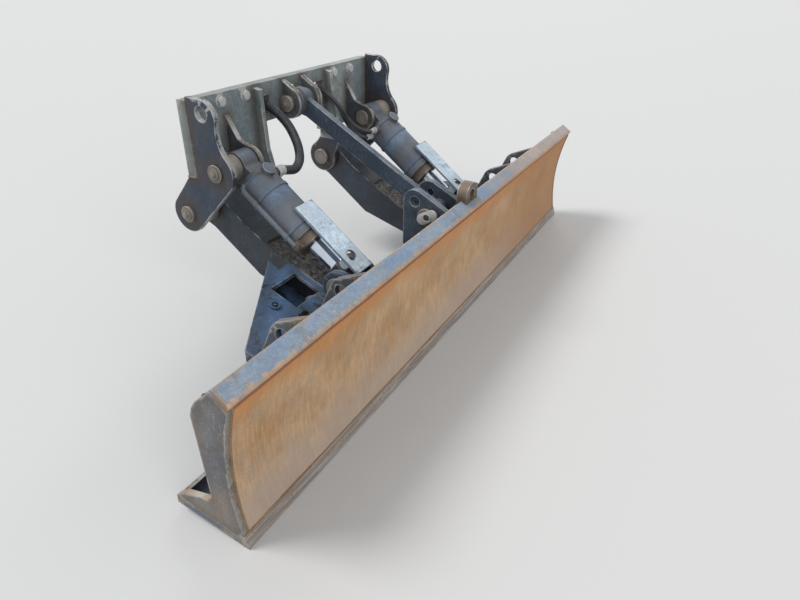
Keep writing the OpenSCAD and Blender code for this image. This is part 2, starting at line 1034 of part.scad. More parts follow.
// The lifting eye stands in a notch of the rail, on the top edges of the face and back plates
eye_x = 30;
eye_back = 28;
eye_rise = 40;
module lifting_eye() {
    color(rusty)
        difference() {
            translate([eye_x, face_top[0] + eye_back + eye_t, face_h + eye_rise])
                rotate([90, 0, 0])
                    linear_extrude(eye_t)
                        difference() {
                            union() {
                                circle(eye_w / 2);
                                translate([-eye_w / 2, -eye_w])
                                    square([eye_w, eye_w]);
                            }
                            translate([0, 2])
                                circle(eye_hole_r);
                        }
            side(eye_x - eye_w, eye_x + eye_w)
                under_rail(0);
        }
}

// Hoses from the windows in the bracket to the ports on the cylinders' inner sides. Each has its
// port's height over the axis, its radius, offsets from the window's middle and offsets from the port
window_mid = [window_x, plate_y, window_z + window_h / 2];
left_hoses = [
    [17, 17, [[0, 58, 2], [0, 8, 2], [0, -47, -16], [-3, -102, -61]],
        [[-163, 31, 60], [-138, 3, 13], [-93, -11, -10], [-56, -6, -6], [-36, -1, -1],
            [-24, 0, 0], [-12, 0, 0], [0, 0, 0]]]];
right_hoses = [
    [17, 9, [[-12, 58, 6], [-10, 8, 4], [0, -40, -14], [18, -84, -58]],
        [[-115, 71, 69], [-88, 46, 30], [-60, 19, 8], [-38, 4, 1], [-24, 0, 0], [-12, 0, 0], [0, 0, 0]]],
    [-18, 9, [[12, 58, 0], [14, 8, -2], [20, -40, -24], [42, -68, -70]],
        [[-93, 76, 83], [-76, 54, 40], [-56, 20, 9], [-37, 4, 1], [-24, 0, 0], [-12, 0, 0], [0, 0, 0]]]];
function port_mouth(h) = [cyl_x - barrel_r - port_out - seat,
    base[0] - port_s * cos(cyl_tilt) - h * sin(cyl_tilt), base[1] - port_s * sin(cyl_tilt) + h * cos(cyl_tilt)];
function route(hose) = concat([for (p = hose[2]) window_mid + p], [for (p = hose[3]) port_mouth(hose[0]) + p]);
function blend(p, i, t) = let (a = p[max(i - 1, 0)], b = p[i], c = p[i + 1], d = p[min(i + 2, len(p) - 1)])
    0.5 * (2 * b + (c - a) * t + (2 * a - 5 * b + 4 * c - d) * t * t + (3 * b - 3 * c + d - a) * t * t * t);
function smooth(p, n) = concat([for (i = [0 : len(p) - 2], k = [0 : n - 1]) blend(p, i, k / n)],
    [p[len(p) - 1]]);
function unit(v) = v / norm(v);
module tube(path, r, sides) {
    m = len(path);
    pts = [for (i = [0 : m - 1])
        let (t = unit(path[min(i + 1, m - 1)] - path[max(i - 1, 0)]),
            u = unit(cross(t, [0.2, 1, 0.3])), v = cross(t, u))
        for (k = [0 : sides - 1]) path[i] + r * (cos(360 * k / sides) * u + sin(360 * k / sides) * v)];
    walls = [for (i = [0 : m - 2], k = [0 : sides - 1])
        [i * sides + k, i * sides + (k + 1) % sides, (i + 1) * sides + (k + 1) % sides, (i + 1) * sides + k]];
    caps = [[for (k = [sides - 1 : -1 : 0]) k], [for (k = [0 : sides - 1]) (m - 1) * sides + k]];
    polyhedron(points = pts, faces = concat(walls, caps), convexity = 4);
}
module hose_solid(hoses) {
    color([0.08, 0.08, 0.09])
        for (hose = hoses)
            tube(smooth(route(hose), 3), hose[1], 10);
}
module hoses_right() {
    hose_solid(right_hoses);
}
module hoses_left() {
    mirror([1, 0, 0])
        hose_solid(left_hoses);
}

// The whole is laid out from the ground under the cutting edge, and carried to the mount's frame
module placed() {
    translate([0, -reach, -mount_h])
        children();
}

placed() bracket_plate();
placed() bracket_ribs();
placed() outer_ear_left();
placed() outer_ear_right();
placed() inner_ears();
placed() root_legs();
placed() centre_ears();
placed() link_root_pin();
placed() base_pins();
placed() root_pins();
placed() arm_left();
placed() arm_right();
placed() flare_left();
placed() flare_right();
placed() upper_link();
placed() barrel_left();
placed() barrel_right();
placed() gland_left();
placed() gland_right();
placed() pipe_left();
placed() pipe_right();
placed() rod_left();
placed() rod_right();
placed() guard_left();
placed() guard_right();
placed() rod_pin_left();
placed() rod_pin_right();
placed() face_plate();
placed() back_plate();
placed() top_rail();
placed() cutting_edge();
placed() foot_plate();
placed() end_plate_left();
placed() end_plate_right();
placed() pivot_lugs();
placed() link_lugs();
placed() lifting_eye();
placed() pivot_pins();
placed() link_front_pin();
placed() hoses_left();
placed() hoses_right();
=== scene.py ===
import json
import math

import bmesh
import bpy
import numpy as np
from mathutils import Matrix, Vector
from mathutils.bvhtree import BVHTree

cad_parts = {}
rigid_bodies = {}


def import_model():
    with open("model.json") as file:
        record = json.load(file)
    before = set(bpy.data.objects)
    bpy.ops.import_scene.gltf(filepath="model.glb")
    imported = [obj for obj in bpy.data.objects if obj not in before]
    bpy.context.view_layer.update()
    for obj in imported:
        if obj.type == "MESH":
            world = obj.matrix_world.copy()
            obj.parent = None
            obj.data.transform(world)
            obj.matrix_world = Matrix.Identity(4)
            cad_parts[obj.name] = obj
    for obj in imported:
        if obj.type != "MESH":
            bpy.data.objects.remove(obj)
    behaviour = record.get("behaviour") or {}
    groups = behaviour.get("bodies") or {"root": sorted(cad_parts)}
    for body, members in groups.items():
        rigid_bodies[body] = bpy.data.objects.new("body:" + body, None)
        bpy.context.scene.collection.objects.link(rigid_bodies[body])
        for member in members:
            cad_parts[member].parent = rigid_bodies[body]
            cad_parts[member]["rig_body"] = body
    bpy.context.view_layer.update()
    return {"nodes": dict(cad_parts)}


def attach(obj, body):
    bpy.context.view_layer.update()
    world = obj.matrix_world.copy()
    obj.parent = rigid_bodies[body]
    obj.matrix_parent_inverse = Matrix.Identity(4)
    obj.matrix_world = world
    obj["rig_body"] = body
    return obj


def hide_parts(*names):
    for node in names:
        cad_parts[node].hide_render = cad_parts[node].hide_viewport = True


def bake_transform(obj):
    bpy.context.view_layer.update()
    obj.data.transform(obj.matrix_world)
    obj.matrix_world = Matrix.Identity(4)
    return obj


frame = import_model()
dice = np.random.default_rng(7)
print("stage: frame loaded")

# Sizes repeated from the part's source, in millimetres: x along the blade, back from the cutting edge and
# up from the ground
size = {
    "reach": 830, "mountHeight": 720,
    "bladeHalf": 1250, "endThick": 16, "faceHeight": 468, "faceLean": 14, "faceSag": 35, "faceThick": 14,
    "faceStep": 4, "edgeHeight": 40, "edgeThick": 20, "seat": 0.3,
    "railWidth": 57, "railThick": 20, "railTilt": 32, "eyeNotch": (-18.3, 78.3, 13.7),
    "cylX": 418, "base": (700, 624), "rodPin": (250, 291), "blockStart": 484.8,
    "plateFront": 792, "root": (865, 445), "pivot": (250, 115), "linkRoot": (761, 757), "linkFront": (146, 427),
}
origin = np.array([0, size["reach"], size["mountHeight"]])


# Rows of layout points as rows in the frame, in metres
def spots(points):
    return (np.asarray(points, float) - origin) / 1000


# Rows in the frame as rows of layout points, in millimetres
def layout(points):
    return points * 1000 + origin


def spot(*place):
    return Vector(spots(place))


def unit(way):
    return way / np.linalg.norm(way, axis=-1, keepdims=True)


# The direction from one [back, up] place to another, and the one square to it on its upper side
def lineAxes(start, end):
    way = unit(np.subtract([0, *end], [0, *start]))
    return way, np.array([0, way[2], -way[1]])


def addObject(name, data):
    obj = bpy.data.objects.new(name, data)
    bpy.context.scene.collection.objects.link(obj)
    return obj


# Camera
shot = {
    "place": (-1877.6, -757.8, 1289.8),
    "yaw": 60.8614, "pitch": 31.227, "roll": -1.3071,
    "lens": 26.444, "sensor": 36, "clip": (0.05, 60),
}


def makeCamera():
    yaw, pitch, roll = (math.radians(shot[key]) for key in ("yaw", "pitch", "roll"))
    ahead = Vector((math.sin(yaw) * math.cos(pitch), math.cos(yaw) * math.cos(pitch), -math.sin(pitch)))
    right = Vector((math.cos(yaw), -math.sin(yaw), 0))
    down = ahead.cross(right)
    sideways = math.cos(roll) * right + math.sin(roll) * down
    low = -math.sin(roll) * right + math.cos(roll) * down
    camera = addObject("camera", bpy.data.cameras.new("camera"))
    camera.data.lens, camera.data.sensor_width = shot["lens"], shot["sensor"]
    camera.data.clip_start, camera.data.clip_end = shot["clip"]
    turn = Matrix((sideways, -low, -ahead)).transposed()
    camera.matrix_world = Matrix.Translation(spot(*shot["place"])) @ turn.to_4x4()
    bpy.context.scene.camera = camera


makeCamera()
print("stage: camera set")


# Shader helpers
# A screen colour of 0 to 255 a channel as the shader's linear colour
def shade(red, green, blue):
    screen = np.array([red, green, blue]) / 255
    linear = np.where(screen <= 0.04045, screen / 12.92, ((screen + 0.055) / 1.055) ** 2.4)
    return (*map(float, linear), 1.0)


def newMaterial(name):
    material = bpy.data.materials.new(name)
    material.use_nodes = True
    return material.node_tree


# Links each socket to its input, and sets the input to any other value
def feed(node, inputs):
    for key, value in inputs.items():
        if isinstance(value, bpy.types.NodeSocket):
            node.id_data.links.new(value, node.inputs[key])
        else:
            node.inputs[key].default_value = value
    return node


# A node with its settings and inputs, in the tree of a socket it is fed by where no tree is given
def addNode(kind, inputs, tree=None, **settings):
    if tree is None:
        tree = next(value for value in inputs.values() if isinstance(value, bpy.types.NodeSocket)).id_data
    node = tree.nodes.new(kind)
    for key, value in settings.items():
        setattr(node, key, value)
    return feed(node, inputs)


def combined(operation, first, second, clamp=False):
    return addNode("ShaderNodeMath", {0: first, 1: second}, operation=operation, use_clamp=clamp).outputs[0]


def times(first, second, clamp=False):
    return combined("MULTIPLY", first, second, clamp)


def plus(first, second, clamp=False):
    return combined("ADD", first, second, clamp)


def minus(first, second, clamp=False):
    return combined("SUBTRACT", first, second, clamp)


# The sum of values, each times its weight
def weighed(*rows):
    total, *rest = (times(value, weight) for value, weight in rows)
    for term in rest:
        total = plus(total, term)
    return total


# A level that a noise moves up and down by an amount
def shaken(level, cloud, amount):
    return plus(level, times(minus(cloud, 0.5), amount))


# Smooth step of value from low to high
def between(value, low, high, start=0.0, end=1.0):
    return addNode("ShaderNodeMapRange", {"Value": value, "From Min": low, "From Max": high, "To Min": start,
                                          "To Max": end}, interpolation_type="SMOOTHSTEP").outputs["Result"]


def mixed(amount, first, second, way="MIX"):
    return addNode("ShaderNodeMix", {0: amount, 6: first, 7: second}, data_type="RGBA", blend_type=way).outputs[2]


# Lays tints over a colour one after another, each by its own mask
def layered(color, *layers):
    for mask, tint in layers:
        color = mixed(mask, color, shade(*tint))
    return color


def noise(place, scale, detail, rough, warp=0.0):
    return addNode("ShaderNodeTexNoise", {"Vector": place, "Scale": scale, "Detail": detail, "Roughness": rough,
                                          "Distortion": warp}).outputs["Fac"]


def stretched(place, scale, turn=(0, 0, 0)):
    return addNode("ShaderNodeMapping", {"Vector": place, "Scale": scale, "Rotation": turn}).outputs["Vector"]


def split(vector):
    return addNode("ShaderNodeSeparateXYZ", {0: vector}).outputs


def objectPlace(tree):
    return addNode("ShaderNodeTexCoord", {}, tree).outputs["Object"]


def sheetPlace(tree):
    return addNode("ShaderNodeUVMap", {}, tree, uv_map="sheet").outputs[0]


def measure(tree, name):
    return addNode("ShaderNodeAttribute", {}, tree, attribute_name=name, attribute_type="GEOMETRY").outputs["Fac"]


# A shader group: its tree, the sockets of its inputs and its output node; each input is a label, a kind and a default
def newGroup(name, inputs, outputs):
    tree = bpy.data.node_groups.new(name, "ShaderNodeTree")
    for label, kind, value in inputs:
        tree.interface.new_socket(label, in_out="INPUT", socket_type="NodeSocket" + kind).default_value = value
    for label, kind in outputs:
        tree.interface.new_socket(label, in_out="OUTPUT", socket_type="NodeSocket" + kind)
    return tree, tree.nodes.new("NodeGroupInput").outputs, tree.nodes.new("NodeGroupOutput")


def placeGroup(tree, name, inputs):
    return addNode("ShaderNodeGroup", inputs, tree, node_tree=bpy.data.node_groups[name]).outputs


midGrey = shade(128, 128, 128)
paintColors = ("Paint", "Faded", "Metal", "Dust", "GrimeAndShade")
paintAmounts = ("Wear", "Fade", "Scratch", "Dusty", "CornerShade", "Stain")
usualAmount = 0.3


# Paint that fades in clouds, wears to metal at edges, is scratched, gathers dust on top and in corners, and is
# darkened in corners as painted shade
def makeWeathering():
    inputs = [(label, "Color", midGrey) for label in paintColors]
    inputs += [(label, "Float", usualAmount) for label in paintAmounts]
    outputs = [("Color", "Color"), ("Roughness", "Float"), ("Metallic", "Float"), ("Height", "Float")]
    tree, given, ends = newGroup("weathering", inputs, outputs)
    place = objectPlace(tree)
    clouds = noise(place, 5.0, 5.0, 0.6)
    speckle = noise(place, 60.0, 8.0, 0.72)
    grit = noise(place, 260.0, 5.0, 0.7)
    grain = noise(place, 420.0, 3.0, 0.6)
    patches = noise(place, 16.0, 7.0, 0.62, 0.4)
    edge, nook, top = (measure(tree, name) for name in ("edge", "nook", "top"))

    color = mixed(times(between(clouds, 0.38, 0.66), given["Fade"]), given["Paint"], given["Faded"])
    mottle = times(between(speckle, 0.35, 0.68, 0.8, 1.12), between(grit, 0.34, 0.66, 0.8, 1.16))
    grey = addNode("ShaderNodeCombineColor", {0: mottle, 1: mottle, 2: mottle}).outputs[0]
    color = mixed(1.0, color, grey, "MULTIPLY")

    streaks = noise(stretched(place, (9, 120, 120)), 2.2, 3.0, 0.6, 0.3)
    cross = noise(stretched(place, (30, 150, 11), (0.75, 0.2, 0.3)), 1.7, 3.0, 0.6, 0.3)
    lines = combined("MAXIMUM", between(streaks, 0.6, 0.66), between(cross, 0.61, 0.68))
    scratches = times(times(lines, between(patches, 0.4, 0.6)), given["Scratch"], True)
    ragged = times(between(patches, 0.3, 0.72, 0.2, 1.8), given["Wear"])
    worn = minus(1.0, between(combined("DIVIDE", edge, ragged), 0.35, 1.0))
    chips = times(times(between(speckle, 0.655, 0.675), between(patches, 0.5, 0.62)), given["Scratch"])
    bare = combined("MAXIMUM", combined("MAXIMUM", worn, scratches), chips, True)
    color = mixed(bare, color, given["Metal"])

    oil = times(between(noise(place, 11.0, 8.0, 0.68, 0.5), 0.56, 0.6), given["Stain"], True)
    color = mixed(oil, color, given["GrimeAndShade"])
    # Painted shade: near inward edges and nearby solids the paint turns to the grime colour; the same mask adds dust
    # there
    corner = times(minus(1.0, between(nook, 0.0, 0.045)), between(speckle, 0.3, 0.6, 0.45, 1.0))
    color = mixed(times(corner, given["CornerShade"], True), color, given["GrimeAndShade"])
    settled = plus(between(top, 0.15, 0.95), times(corner, 0.35))
    settled = times(settled, between(patches, 0.34, 0.64, 0.15, 1.0))
    haze = times(between(clouds, 0.45, 0.7, 0.0, 0.3), between(grit, 0.36, 0.6, 0.3, 1.0))
    film = times(plus(settled, haze), given["Dusty"], True)

    rough = plus(between(speckle, 0.3, 0.7, 0.46, 0.64), weighed((film, 0.3), (oil, -0.15), (bare, -0.1)), True)
    metal = times(times(bare, minus(1.0, film, True)), 0.6)
    height = weighed((grain, 0.25), (speckle, 0.5), (grit, 0.3), (bare, -0.25))
    feed(ends, {"Color": mixed(film, color, given["Dust"]), "Roughness": rough, "Metallic": metal, "Height": height})


# Bare rusted steel: clouds of two tones, dark pits, and fine streaks that run along the second axis of its place
def makeRust():
    inputs = [("Place", "Vector", (0, 0, 0)), ("Light", "Color", midGrey), ("Mid", "Color", midGrey),
              ("Dark", "Color", midGrey), ("Streak", "Float", usualAmount), ("Pits", "Float", usualAmount)]
    outputs = [("Color", "Color"), ("Roughness", "Float"), ("Height", "Float"), ("Streaks", "Float")]
    tree, given, ends = newGroup("rustedSteel", inputs, outputs)
    place = given["Place"]
    clouds = noise(place, 5.0, 8.0, 0.66)
    fine = noise(stretched(place, (250, 13, 13)), 1.0, 5.0, 0.68)
    broad = noise(stretched(place, (90, 12, 12)), 1.0, 6.0, 0.66)
    speckle = noise(place, 150.0, 7.0, 0.76)
    grain = noise(place, 600.0, 2.0, 0.6)
    color = mixed(between(clouds, 0.36, 0.64), given["Mid"], given["Light"])
    color = mixed(times(between(fine, 0.48, 0.62), given["Streak"], True), color, given["Light"])
    deep = times(between(broad, 0.58, 0.36), given["Streak"], True)
    color = mixed(times(deep, 0.55), color, given["Dark"])
    pits = times(between(speckle, 0.56, 0.68), given["Pits"], True)
    height = weighed((grain, 0.3), (pits, -0.6), (fine, 0.5))
    feed(ends, {"Color": mixed(pits, color, given["Dark"]), "Roughness": between(speckle, 0.3, 0.7, 0.62, 0.86),
                "Height": height, "Streaks": fine})


makeWeathering()
makeRust()


# The weathering group with a row of five colours and the amounts after them
def weathered(tree, row):
    values = [shade(*tint) for tint in row[:len(paintColors)]] + list(row[len(paintColors):])
    return placeGroup(tree, "weathering", dict(zip(paintColors + paintAmounts, values)))


def rusted(tree, place, light, mid, dark, streak, pits):
    return placeGroup(tree, "rustedSteel", {"Place": place, "Light": shade(*light), "Mid": shade(*mid),
                                            "Dark": shade(*dark), "Streak": streak, "Pits": pits})


bumpDepth = 0.002


def joinShader(tree, color, rough, height, bump, metal=0.0):
    rise = addNode("ShaderNodeBump", {"Height": height, "Strength": bump, "Distance": bumpDepth}).outputs[0]
    feed(tree.nodes["Principled BSDF"], {"Base Color": color, "Roughness": rough, "Metallic": metal, "Normal": rise})


# The painted finishes: paint, faded paint, bare metal, dust, and grime that is also the painted shade in corners,
# then the amounts Wear, Fade, Scratch, Dusty and the painted shade in corners, and Stain where it isn't the usual one
paints = {
    "platePaint": ((106, 117, 121), (140, 148, 148), (172, 172, 164), (146, 134, 118), (64, 58, 50),
                   0.003, 0.75, 0.3, 0.25, 0.7),
    "earPaint": ((34, 47, 63), (54, 66, 80), (164, 164, 162), (84, 76, 70), (58, 46, 38),
                 0.004, 0.6, 0.25, 0.25, 0.85),
    "innerPaint": ((62, 76, 88), (88, 98, 104), (182, 182, 178), (128, 114, 98), (50, 42, 36),
                   0.005, 0.5, 0.3, 0.3, 0.8),
    "linkPaint": ((42, 55, 70), (64, 79, 96), (150, 154, 158), (108, 116, 124), (40, 38, 38),
                  0.003, 0.55, 0.4, 0.7, 0.6),
    "barrelPaint": ((74, 94, 116), (106, 125, 144), (172, 174, 174), (128, 128, 126), (74, 64, 56),
                    0.003, 0.55, 0.4, 0.18, 0.75),
    "armPaint": ((34, 44, 55), (54, 66, 80), (150, 152, 152), (88, 90, 92), (52, 46, 42),
                 0.003, 0.6, 0.25, 0.25, 0.7),
    "flarePaint": ((54, 86, 124), (74, 104, 140), (160, 164, 168), (96, 106, 118), (24, 28, 34),
                   0.003, 0.5, 0.35, 0.15, 0.85, 0.95),
    "bladePaint": ((64, 76, 92), (98, 106, 114), (156, 152, 146), (138, 116, 92), (56, 46, 40),
                   0.004, 0.6, 0.6, 0.35, 0.7),
    "guardPaint": ((188, 208, 225), (206, 218, 226), (128, 142, 158), (186, 184, 178), (70, 62, 56),
                   0.0035, 0.7, 1.0, 0.1, 0.35, 0.45),
    "pinSteel": ((134, 130, 124), (160, 152, 142), (196, 192, 186), (148, 130, 110), (64, 54, 46),
                 0.003, 0.7, 0.6, 0.25, 0.7),
    "endPaint": ((88, 96, 106), (122, 120, 114), (180, 178, 172), (150, 118, 84), (56, 48, 42),
                 0.006, 0.9, 1.0, 0.6, 0.6, 0.35),
    "footPaint": ((84, 106, 138), (112, 124, 140), (164, 160, 152), (140, 122, 106), (50, 44, 40),
                  0.005, 0.6, 0.8, 0.3, 0.6),
    "glandSteel": ((92, 82, 70), (114, 104, 90), (166, 158, 146), (134, 116, 96), (46, 38, 32),
                   0.003, 0.7, 0.4, 0.3, 0.9),
    "zincSteel": ((184, 186, 186), (204, 204, 200), (216, 216, 214), (176, 168, 154), (98, 90, 78),
                  0.002, 0.6, 0.3, 0.2, 0.4),
    "darkWeld": ((76, 82, 88), (104, 104, 102), (150, 146, 140), (124, 110, 96), (54, 46, 40),
                 0.002, 0.7, 0.3, 0.45, 0.6),
    "rustWeld": ((132, 104, 78), (160, 132, 104), (180, 166, 148), (152, 124, 96), (84, 64, 48),
                 0.002, 0.8, 0.6, 0.35, 0.4),
    "eyeRust": ((84, 78, 72), (112, 98, 84), (160, 148, 134), (118, 98, 80), (48, 40, 34),
                0.004, 0.9, 0.5, 0.25, 0.8),
    "dirtGrey": ((58, 50, 44), (96, 84, 72), (120, 108, 96), (134, 116, 98), (40, 34, 30),
                 0.001, 0.8, 0.2, 0.5, 0.8),
}
paintBump = 0.3
for name, row in paints.items():
    tree = newMaterial(name)
    out = weathered(tree, row)
    joinShader(tree, out["Color"], out["Roughness"], out["Height"], paintBump, out["Metallic"])


# The face of the blade: golden brown steel scoured upright, speckled at the left, orange under the rail, grey
# at its foot, and a darker brown towards the right end as painted shade
def faceMaterial():
    tree = newMaterial("faceRust")
    sheet = sheetPlace(tree)
    along, up = split(sheet)[:2]
    out = rusted(tree, sheet, (190, 158, 120), (166, 127, 86), (126, 92, 64), 0.6, 0.35)
    wander = noise(stretched(sheet, (5, 3, 1)), 1.0, 5.0, 0.6)
    patchy = noise(stretched(sheet, (18, 10, 1)), 1.0, 8.0, 0.7)
    specks = noise(sheet, 210.0, 4.0, 0.7)
    leftward = between(plus(along, times(wander, 0.8)), -0.1, -1.0, 0.0, 0.8)
    speckled = times(between(specks, 0.5, 0.62), between(patchy, 0.4, 0.6, 0.3, 1.0))
    level = shaken(shaken(up, wander, 0.16), out["Streaks"], 0.12)
    orange = times(between(level, 0.3, 0.41), between(specks, 0.34, 0.6, 0.45, 0.9))
    line = between(plus(up, times(patchy, 0.012)), 0.408, 0.418, 0.0, 0.75)
    color = layered(out["Color"], (between(patchy, 0.46, 0.6, 0.0, 0.4), (160, 142, 122)),
                    (times(leftward, speckled), (112, 108, 98)), (orange, (186, 122, 62)), (line, (128, 70, 40)),
                    (between(level, 0.2, 0.02, 0.0, 0.65), (166, 152, 142)),
                    # painted shade: the face turns a darker brown towards its right end
                    (between(along, 0.1, 1.0, 0.0, 0.7), (152, 106, 60)))
    joinShader(tree, color, out["Roughness"], out["Height"], 0.4)


# The rail's flat top: worn paint paled by painted sky reflection, going to brown rust to the right, orange rust at
# its front
def railMaterial():
    tree = newMaterial("railWorn")
    place = objectPlace(tree)
    # painted reflection: the worn paint is lightened to a pale blue, as the sky reflects on the rail's top
    base = weathered(tree, ((112, 140, 168), (138, 158, 176), (150, 132, 116), (150, 132, 112), (84, 70, 58),
                            0.007, 0.8, 0.9, 0.15, 0.3))
    rust = rusted(tree, stretched(place, (0.3, 1, 1)), (192, 170, 146), (164, 138, 114), (96, 72, 56), 0.3, 0.6)
    ragged = noise(place, 36.0, 9.0, 0.76)
    wide = noise(place, 2.2, 4.0, 0.6)
    bare = between(shaken(measure(tree, "front"), ragged, 0.07), 0.012, 0.004)
    brown = between(shaken(shaken(split(place)[0], wide, 1.2), ragged, 0.9), 0.05, 0.5, 0.0, 0.55)
    flecks = between(ragged, 0.58, 0.64, 0.0, 0.75)
    amount = combined("MAXIMUM", combined("MAXIMUM", bare, brown), flecks, True)
    color = mixed(amount, base["Color"], layered(rust["Color"], (times(bare, 0.5), (164, 120, 80))))
    rough = plus(times(amount, 0.2), base["Roughness"], True)
    height = minus(base["Height"], times(amount, 0.3))
    joinShader(tree, color, rough, height, 0.35, times(base["Metallic"], minus(1.0, amount)))


# The cutting edge: grey-brown steel scraped along its length
def scrapedMaterial():
    tree = newMaterial("scrapedSteel")
    place = objectPlace(tree)
    out = rusted(tree, stretched(place, (1, 40, 40)), (158, 148, 140), (128, 116, 106), (84, 70, 60), 0.1, 0.2)
    lines = noise(stretched(place, (5, 260, 260)), 1.0, 5.0, 0.65)
    speckle = noise(place, 70.0, 6.0, 0.7)
    color = layered(out["Color"], (between(lines, 0.46, 0.64), (178, 172, 166)),
                    (between(speckle, 0.56, 0.66, 0.0, 0.7), (96, 72, 54)))
    joinShader(tree, color, between(speckle, 0.35, 0.65, 0.38, 0.7), minus(lines, speckle), 0.4,
               between(speckle, 0.62, 0.5, 0.1, 0.55))


# Rubber cover of the hoses, with its wrapped marks across and grey dust
def rubberMaterial():
    tree = newMaterial("hoseRubber")
    wrap = noise(stretched(sheetPlace(tree), (900, 30, 1), (0, 0, 0.25)), 1.0, 2.0, 0.5)
    dust = noise(objectPlace(tree), 26.0, 6.0, 0.65)
    film = times(between(dust, 0.42, 0.66), between(measure(tree, "top"), -0.4, 0.9, 0.1, 0.5))
    color = mixed(film, shade(27, 31, 40), shade(92, 88, 84))
    joinShader(tree, color, plus(times(film, 0.3), 0.4), wrap, 0.35)


# Hard chrome of the rods, with fine rings and a dull film
def chromeMaterial():
    tree = newMaterial("rodChrome")
    place = objectPlace(tree)
    film = noise(place, 34.0, 6.0, 0.7)
    rings = noise(stretched(place, (4, 260, 260)), 1.0, 2.0, 0.5)
    color = mixed(between(film, 0.6, 0.74, 0.0, 0.5), shade(206, 216, 228), shade(140, 134, 126))
    joinShader(tree, color, between(film, 0.4, 0.75, 0.1, 0.34), rings, 0.02, between(film, 0.62, 0.74, 1.0, 0.6))


# Stones and dry soil
def soilMaterial():
    tree = newMaterial("drySoil")
    place = objectPlace(tree)
    tone = noise(place, 60.0, 7.0, 0.75)
    grain = noise(place, 500.0, 4.0, 0.7)
    color = mixed(between(tone, 0.36, 0.64), shade(66, 66, 66), shade(126, 122, 116))
    color = layered(color, (between(grain, 0.6, 0.66), (176, 170, 160)))
    joinShader(tree, color, between(grain, 0.3, 0.7, 0.82, 0.98), grain, 0.6)


faceMaterial()
railMaterial()
scrapedMaterial()
rubberMaterial()
chromeMaterial()
soilMaterial()
print("stage: materials made")

# Floor and lamps
studio = {
    "floor": (0.52, 0.517, 0.51, 1), "floorRough": 0.9, "floorSize": 90, "floorPlace": (0, 400, 0),
    "worldLight": (0.93, 0.96, 1.0, 1), "worldLevel": 0.58, "backdrop": (0.8, 0.8, 0.8, 1),
    # name, place in the layout, what it looks at, its spread in degrees, watts a square metre
    "lamps": [
        ("key", (-1200, 2600, 3600), (0, 300, 300), 22, 2.2),
        ("fill", (-2200, -3200, 2400), (0, 300, 300), 44, 1.25),
        ("rim", (3000, 1500, 2200), (300, 300, 300), 30, 0.7),
    ],
}


def makeStudio():
    bpy.ops.mesh.primitive_plane_add(size=studio["floorSize"], location=spot(*studio["floorPlace"]))
    floor = bpy.context.object
    floor.name = "floor"
    shader = newMaterial("floorPlaster").nodes["Principled BSDF"]
    feed(shader, {"Base Color": studio["floor"], "Roughness": studio["floorRough"]})
    floor.data.materials.append(bpy.data.materials["floorPlaster"])
    world = bpy.data.worlds.new("softbox")
    world.use_nodes = True
    tree = world.node_tree
    light = feed(tree.nodes["Background"], {"Color": studio["worldLight"], "Strength": studio["worldLevel"]})
    backdrop = addNode("ShaderNodeBackground", {"Color": studio["backdrop"], "Strength": 1.0}, tree)
    ray = addNode("ShaderNodeLightPath", {}, tree).outputs
    seen = combined("MAXIMUM", ray["Is Camera Ray"], ray["Is Glossy Ray"])
    both = addNode("ShaderNodeMixShader", {0: seen, 1: light.outputs[0], 2: backdrop.outputs[0]})
    feed(tree.nodes["World Output"], {"Surface": both.outputs[0]})
    bpy.context.scene.world = world
    bpy.context.scene.view_settings.view_transform = "Standard"
    for name, place, target, spread, strength in studio["lamps"]:
        lamp = addObject(name, bpy.data.lights.new(name, "SUN"))
        lamp.data.angle, lamp.data.energy = math.radians(spread), strength
        lamp.location = spot(*place)
        lamp.rotation_euler = (spot(*target) - spot(*place)).to_track_quat("-Z", "Y").to_euler()


makeStudio()
print("stage: studio set")


# Mesh helpers
# Quads of a grid of rows and columns; a closed direction joins its last line to its first
def gridQuads(rows, cols, closeRows=False, closeCols=True):
    i = np.arange(rows if closeRows else rows - 1)[:, None]
    j = np.arange(cols if closeCols else cols - 1)[None, :]
    nextRow, nextCol = (i + 1) % rows * cols, (j + 1) % cols
    corners = [i * cols + j, i * cols + nextCol, nextRow + nextCol, nextRow + j]
    return np.stack(np.broadcast_arrays(*corners), -1).reshape(-1, 4)


# The faces of a swept form: its walls and an end cap at each end, unless its rows close on themselves
def sweptFaces(rows, cols, closed=False):
    faces = gridQuads(rows, cols, closed).tolist()
    if not closed:
        faces.append(list(range(cols))[::-1])
        faces.append(list(range((rows - 1) * cols, rows * cols)))
    return faces


# Puts several sets of points and faces together as one
def gather(forms):
    points, faces, start = [], [], 0
    for some, theirs in forms:
        points.append(np.asarray(some).reshape(-1, 3))
        faces += [[k + start for k in corners] for corners in theirs]
        start += len(points[-1])
    return np.concatenate(points), faces


# A mesh object from points in metres and faces, with its normals turned outwards
def addMesh(name, points, faces, finish, smooth=40, merge=False):
    mesh = bpy.data.meshes.new(name)
    mesh.from_pydata(np.asarray(points).reshape(-1, 3).tolist(), [], faces)
    b = bmesh.new()
    b.from_mesh(mesh)
    if merge:
        bmesh.ops.remove_doubles(b, verts=b.verts, dist=2e-6)
    bmesh.ops.recalc_face_normals(b, faces=b.faces)
    b.to_mesh(mesh)
    b.free()
    mesh.materials.append(bpy.data.materials[finish])
    mesh.shade_smooth()
    mesh.set_sharp_from_angle(angle=math.radians(smooth))
    return addObject(name, mesh)


# A piece that runs between two bodies rides on none
def giveBody(obj, body, finish, *replaced):
    if body:
        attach(obj, body)
    if replaced:
        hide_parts(*replaced)
    return obj


# One property of many items, a row for each
def readRows(items, name, width=3, kind=np.float32):
    flat = np.empty(len(items) * width, kind)
    items.foreach_get(name, flat)
    return flat.reshape(-1, width)


def pointsOf(mesh):
    return readRows(mesh.vertices, "co").astype(float)


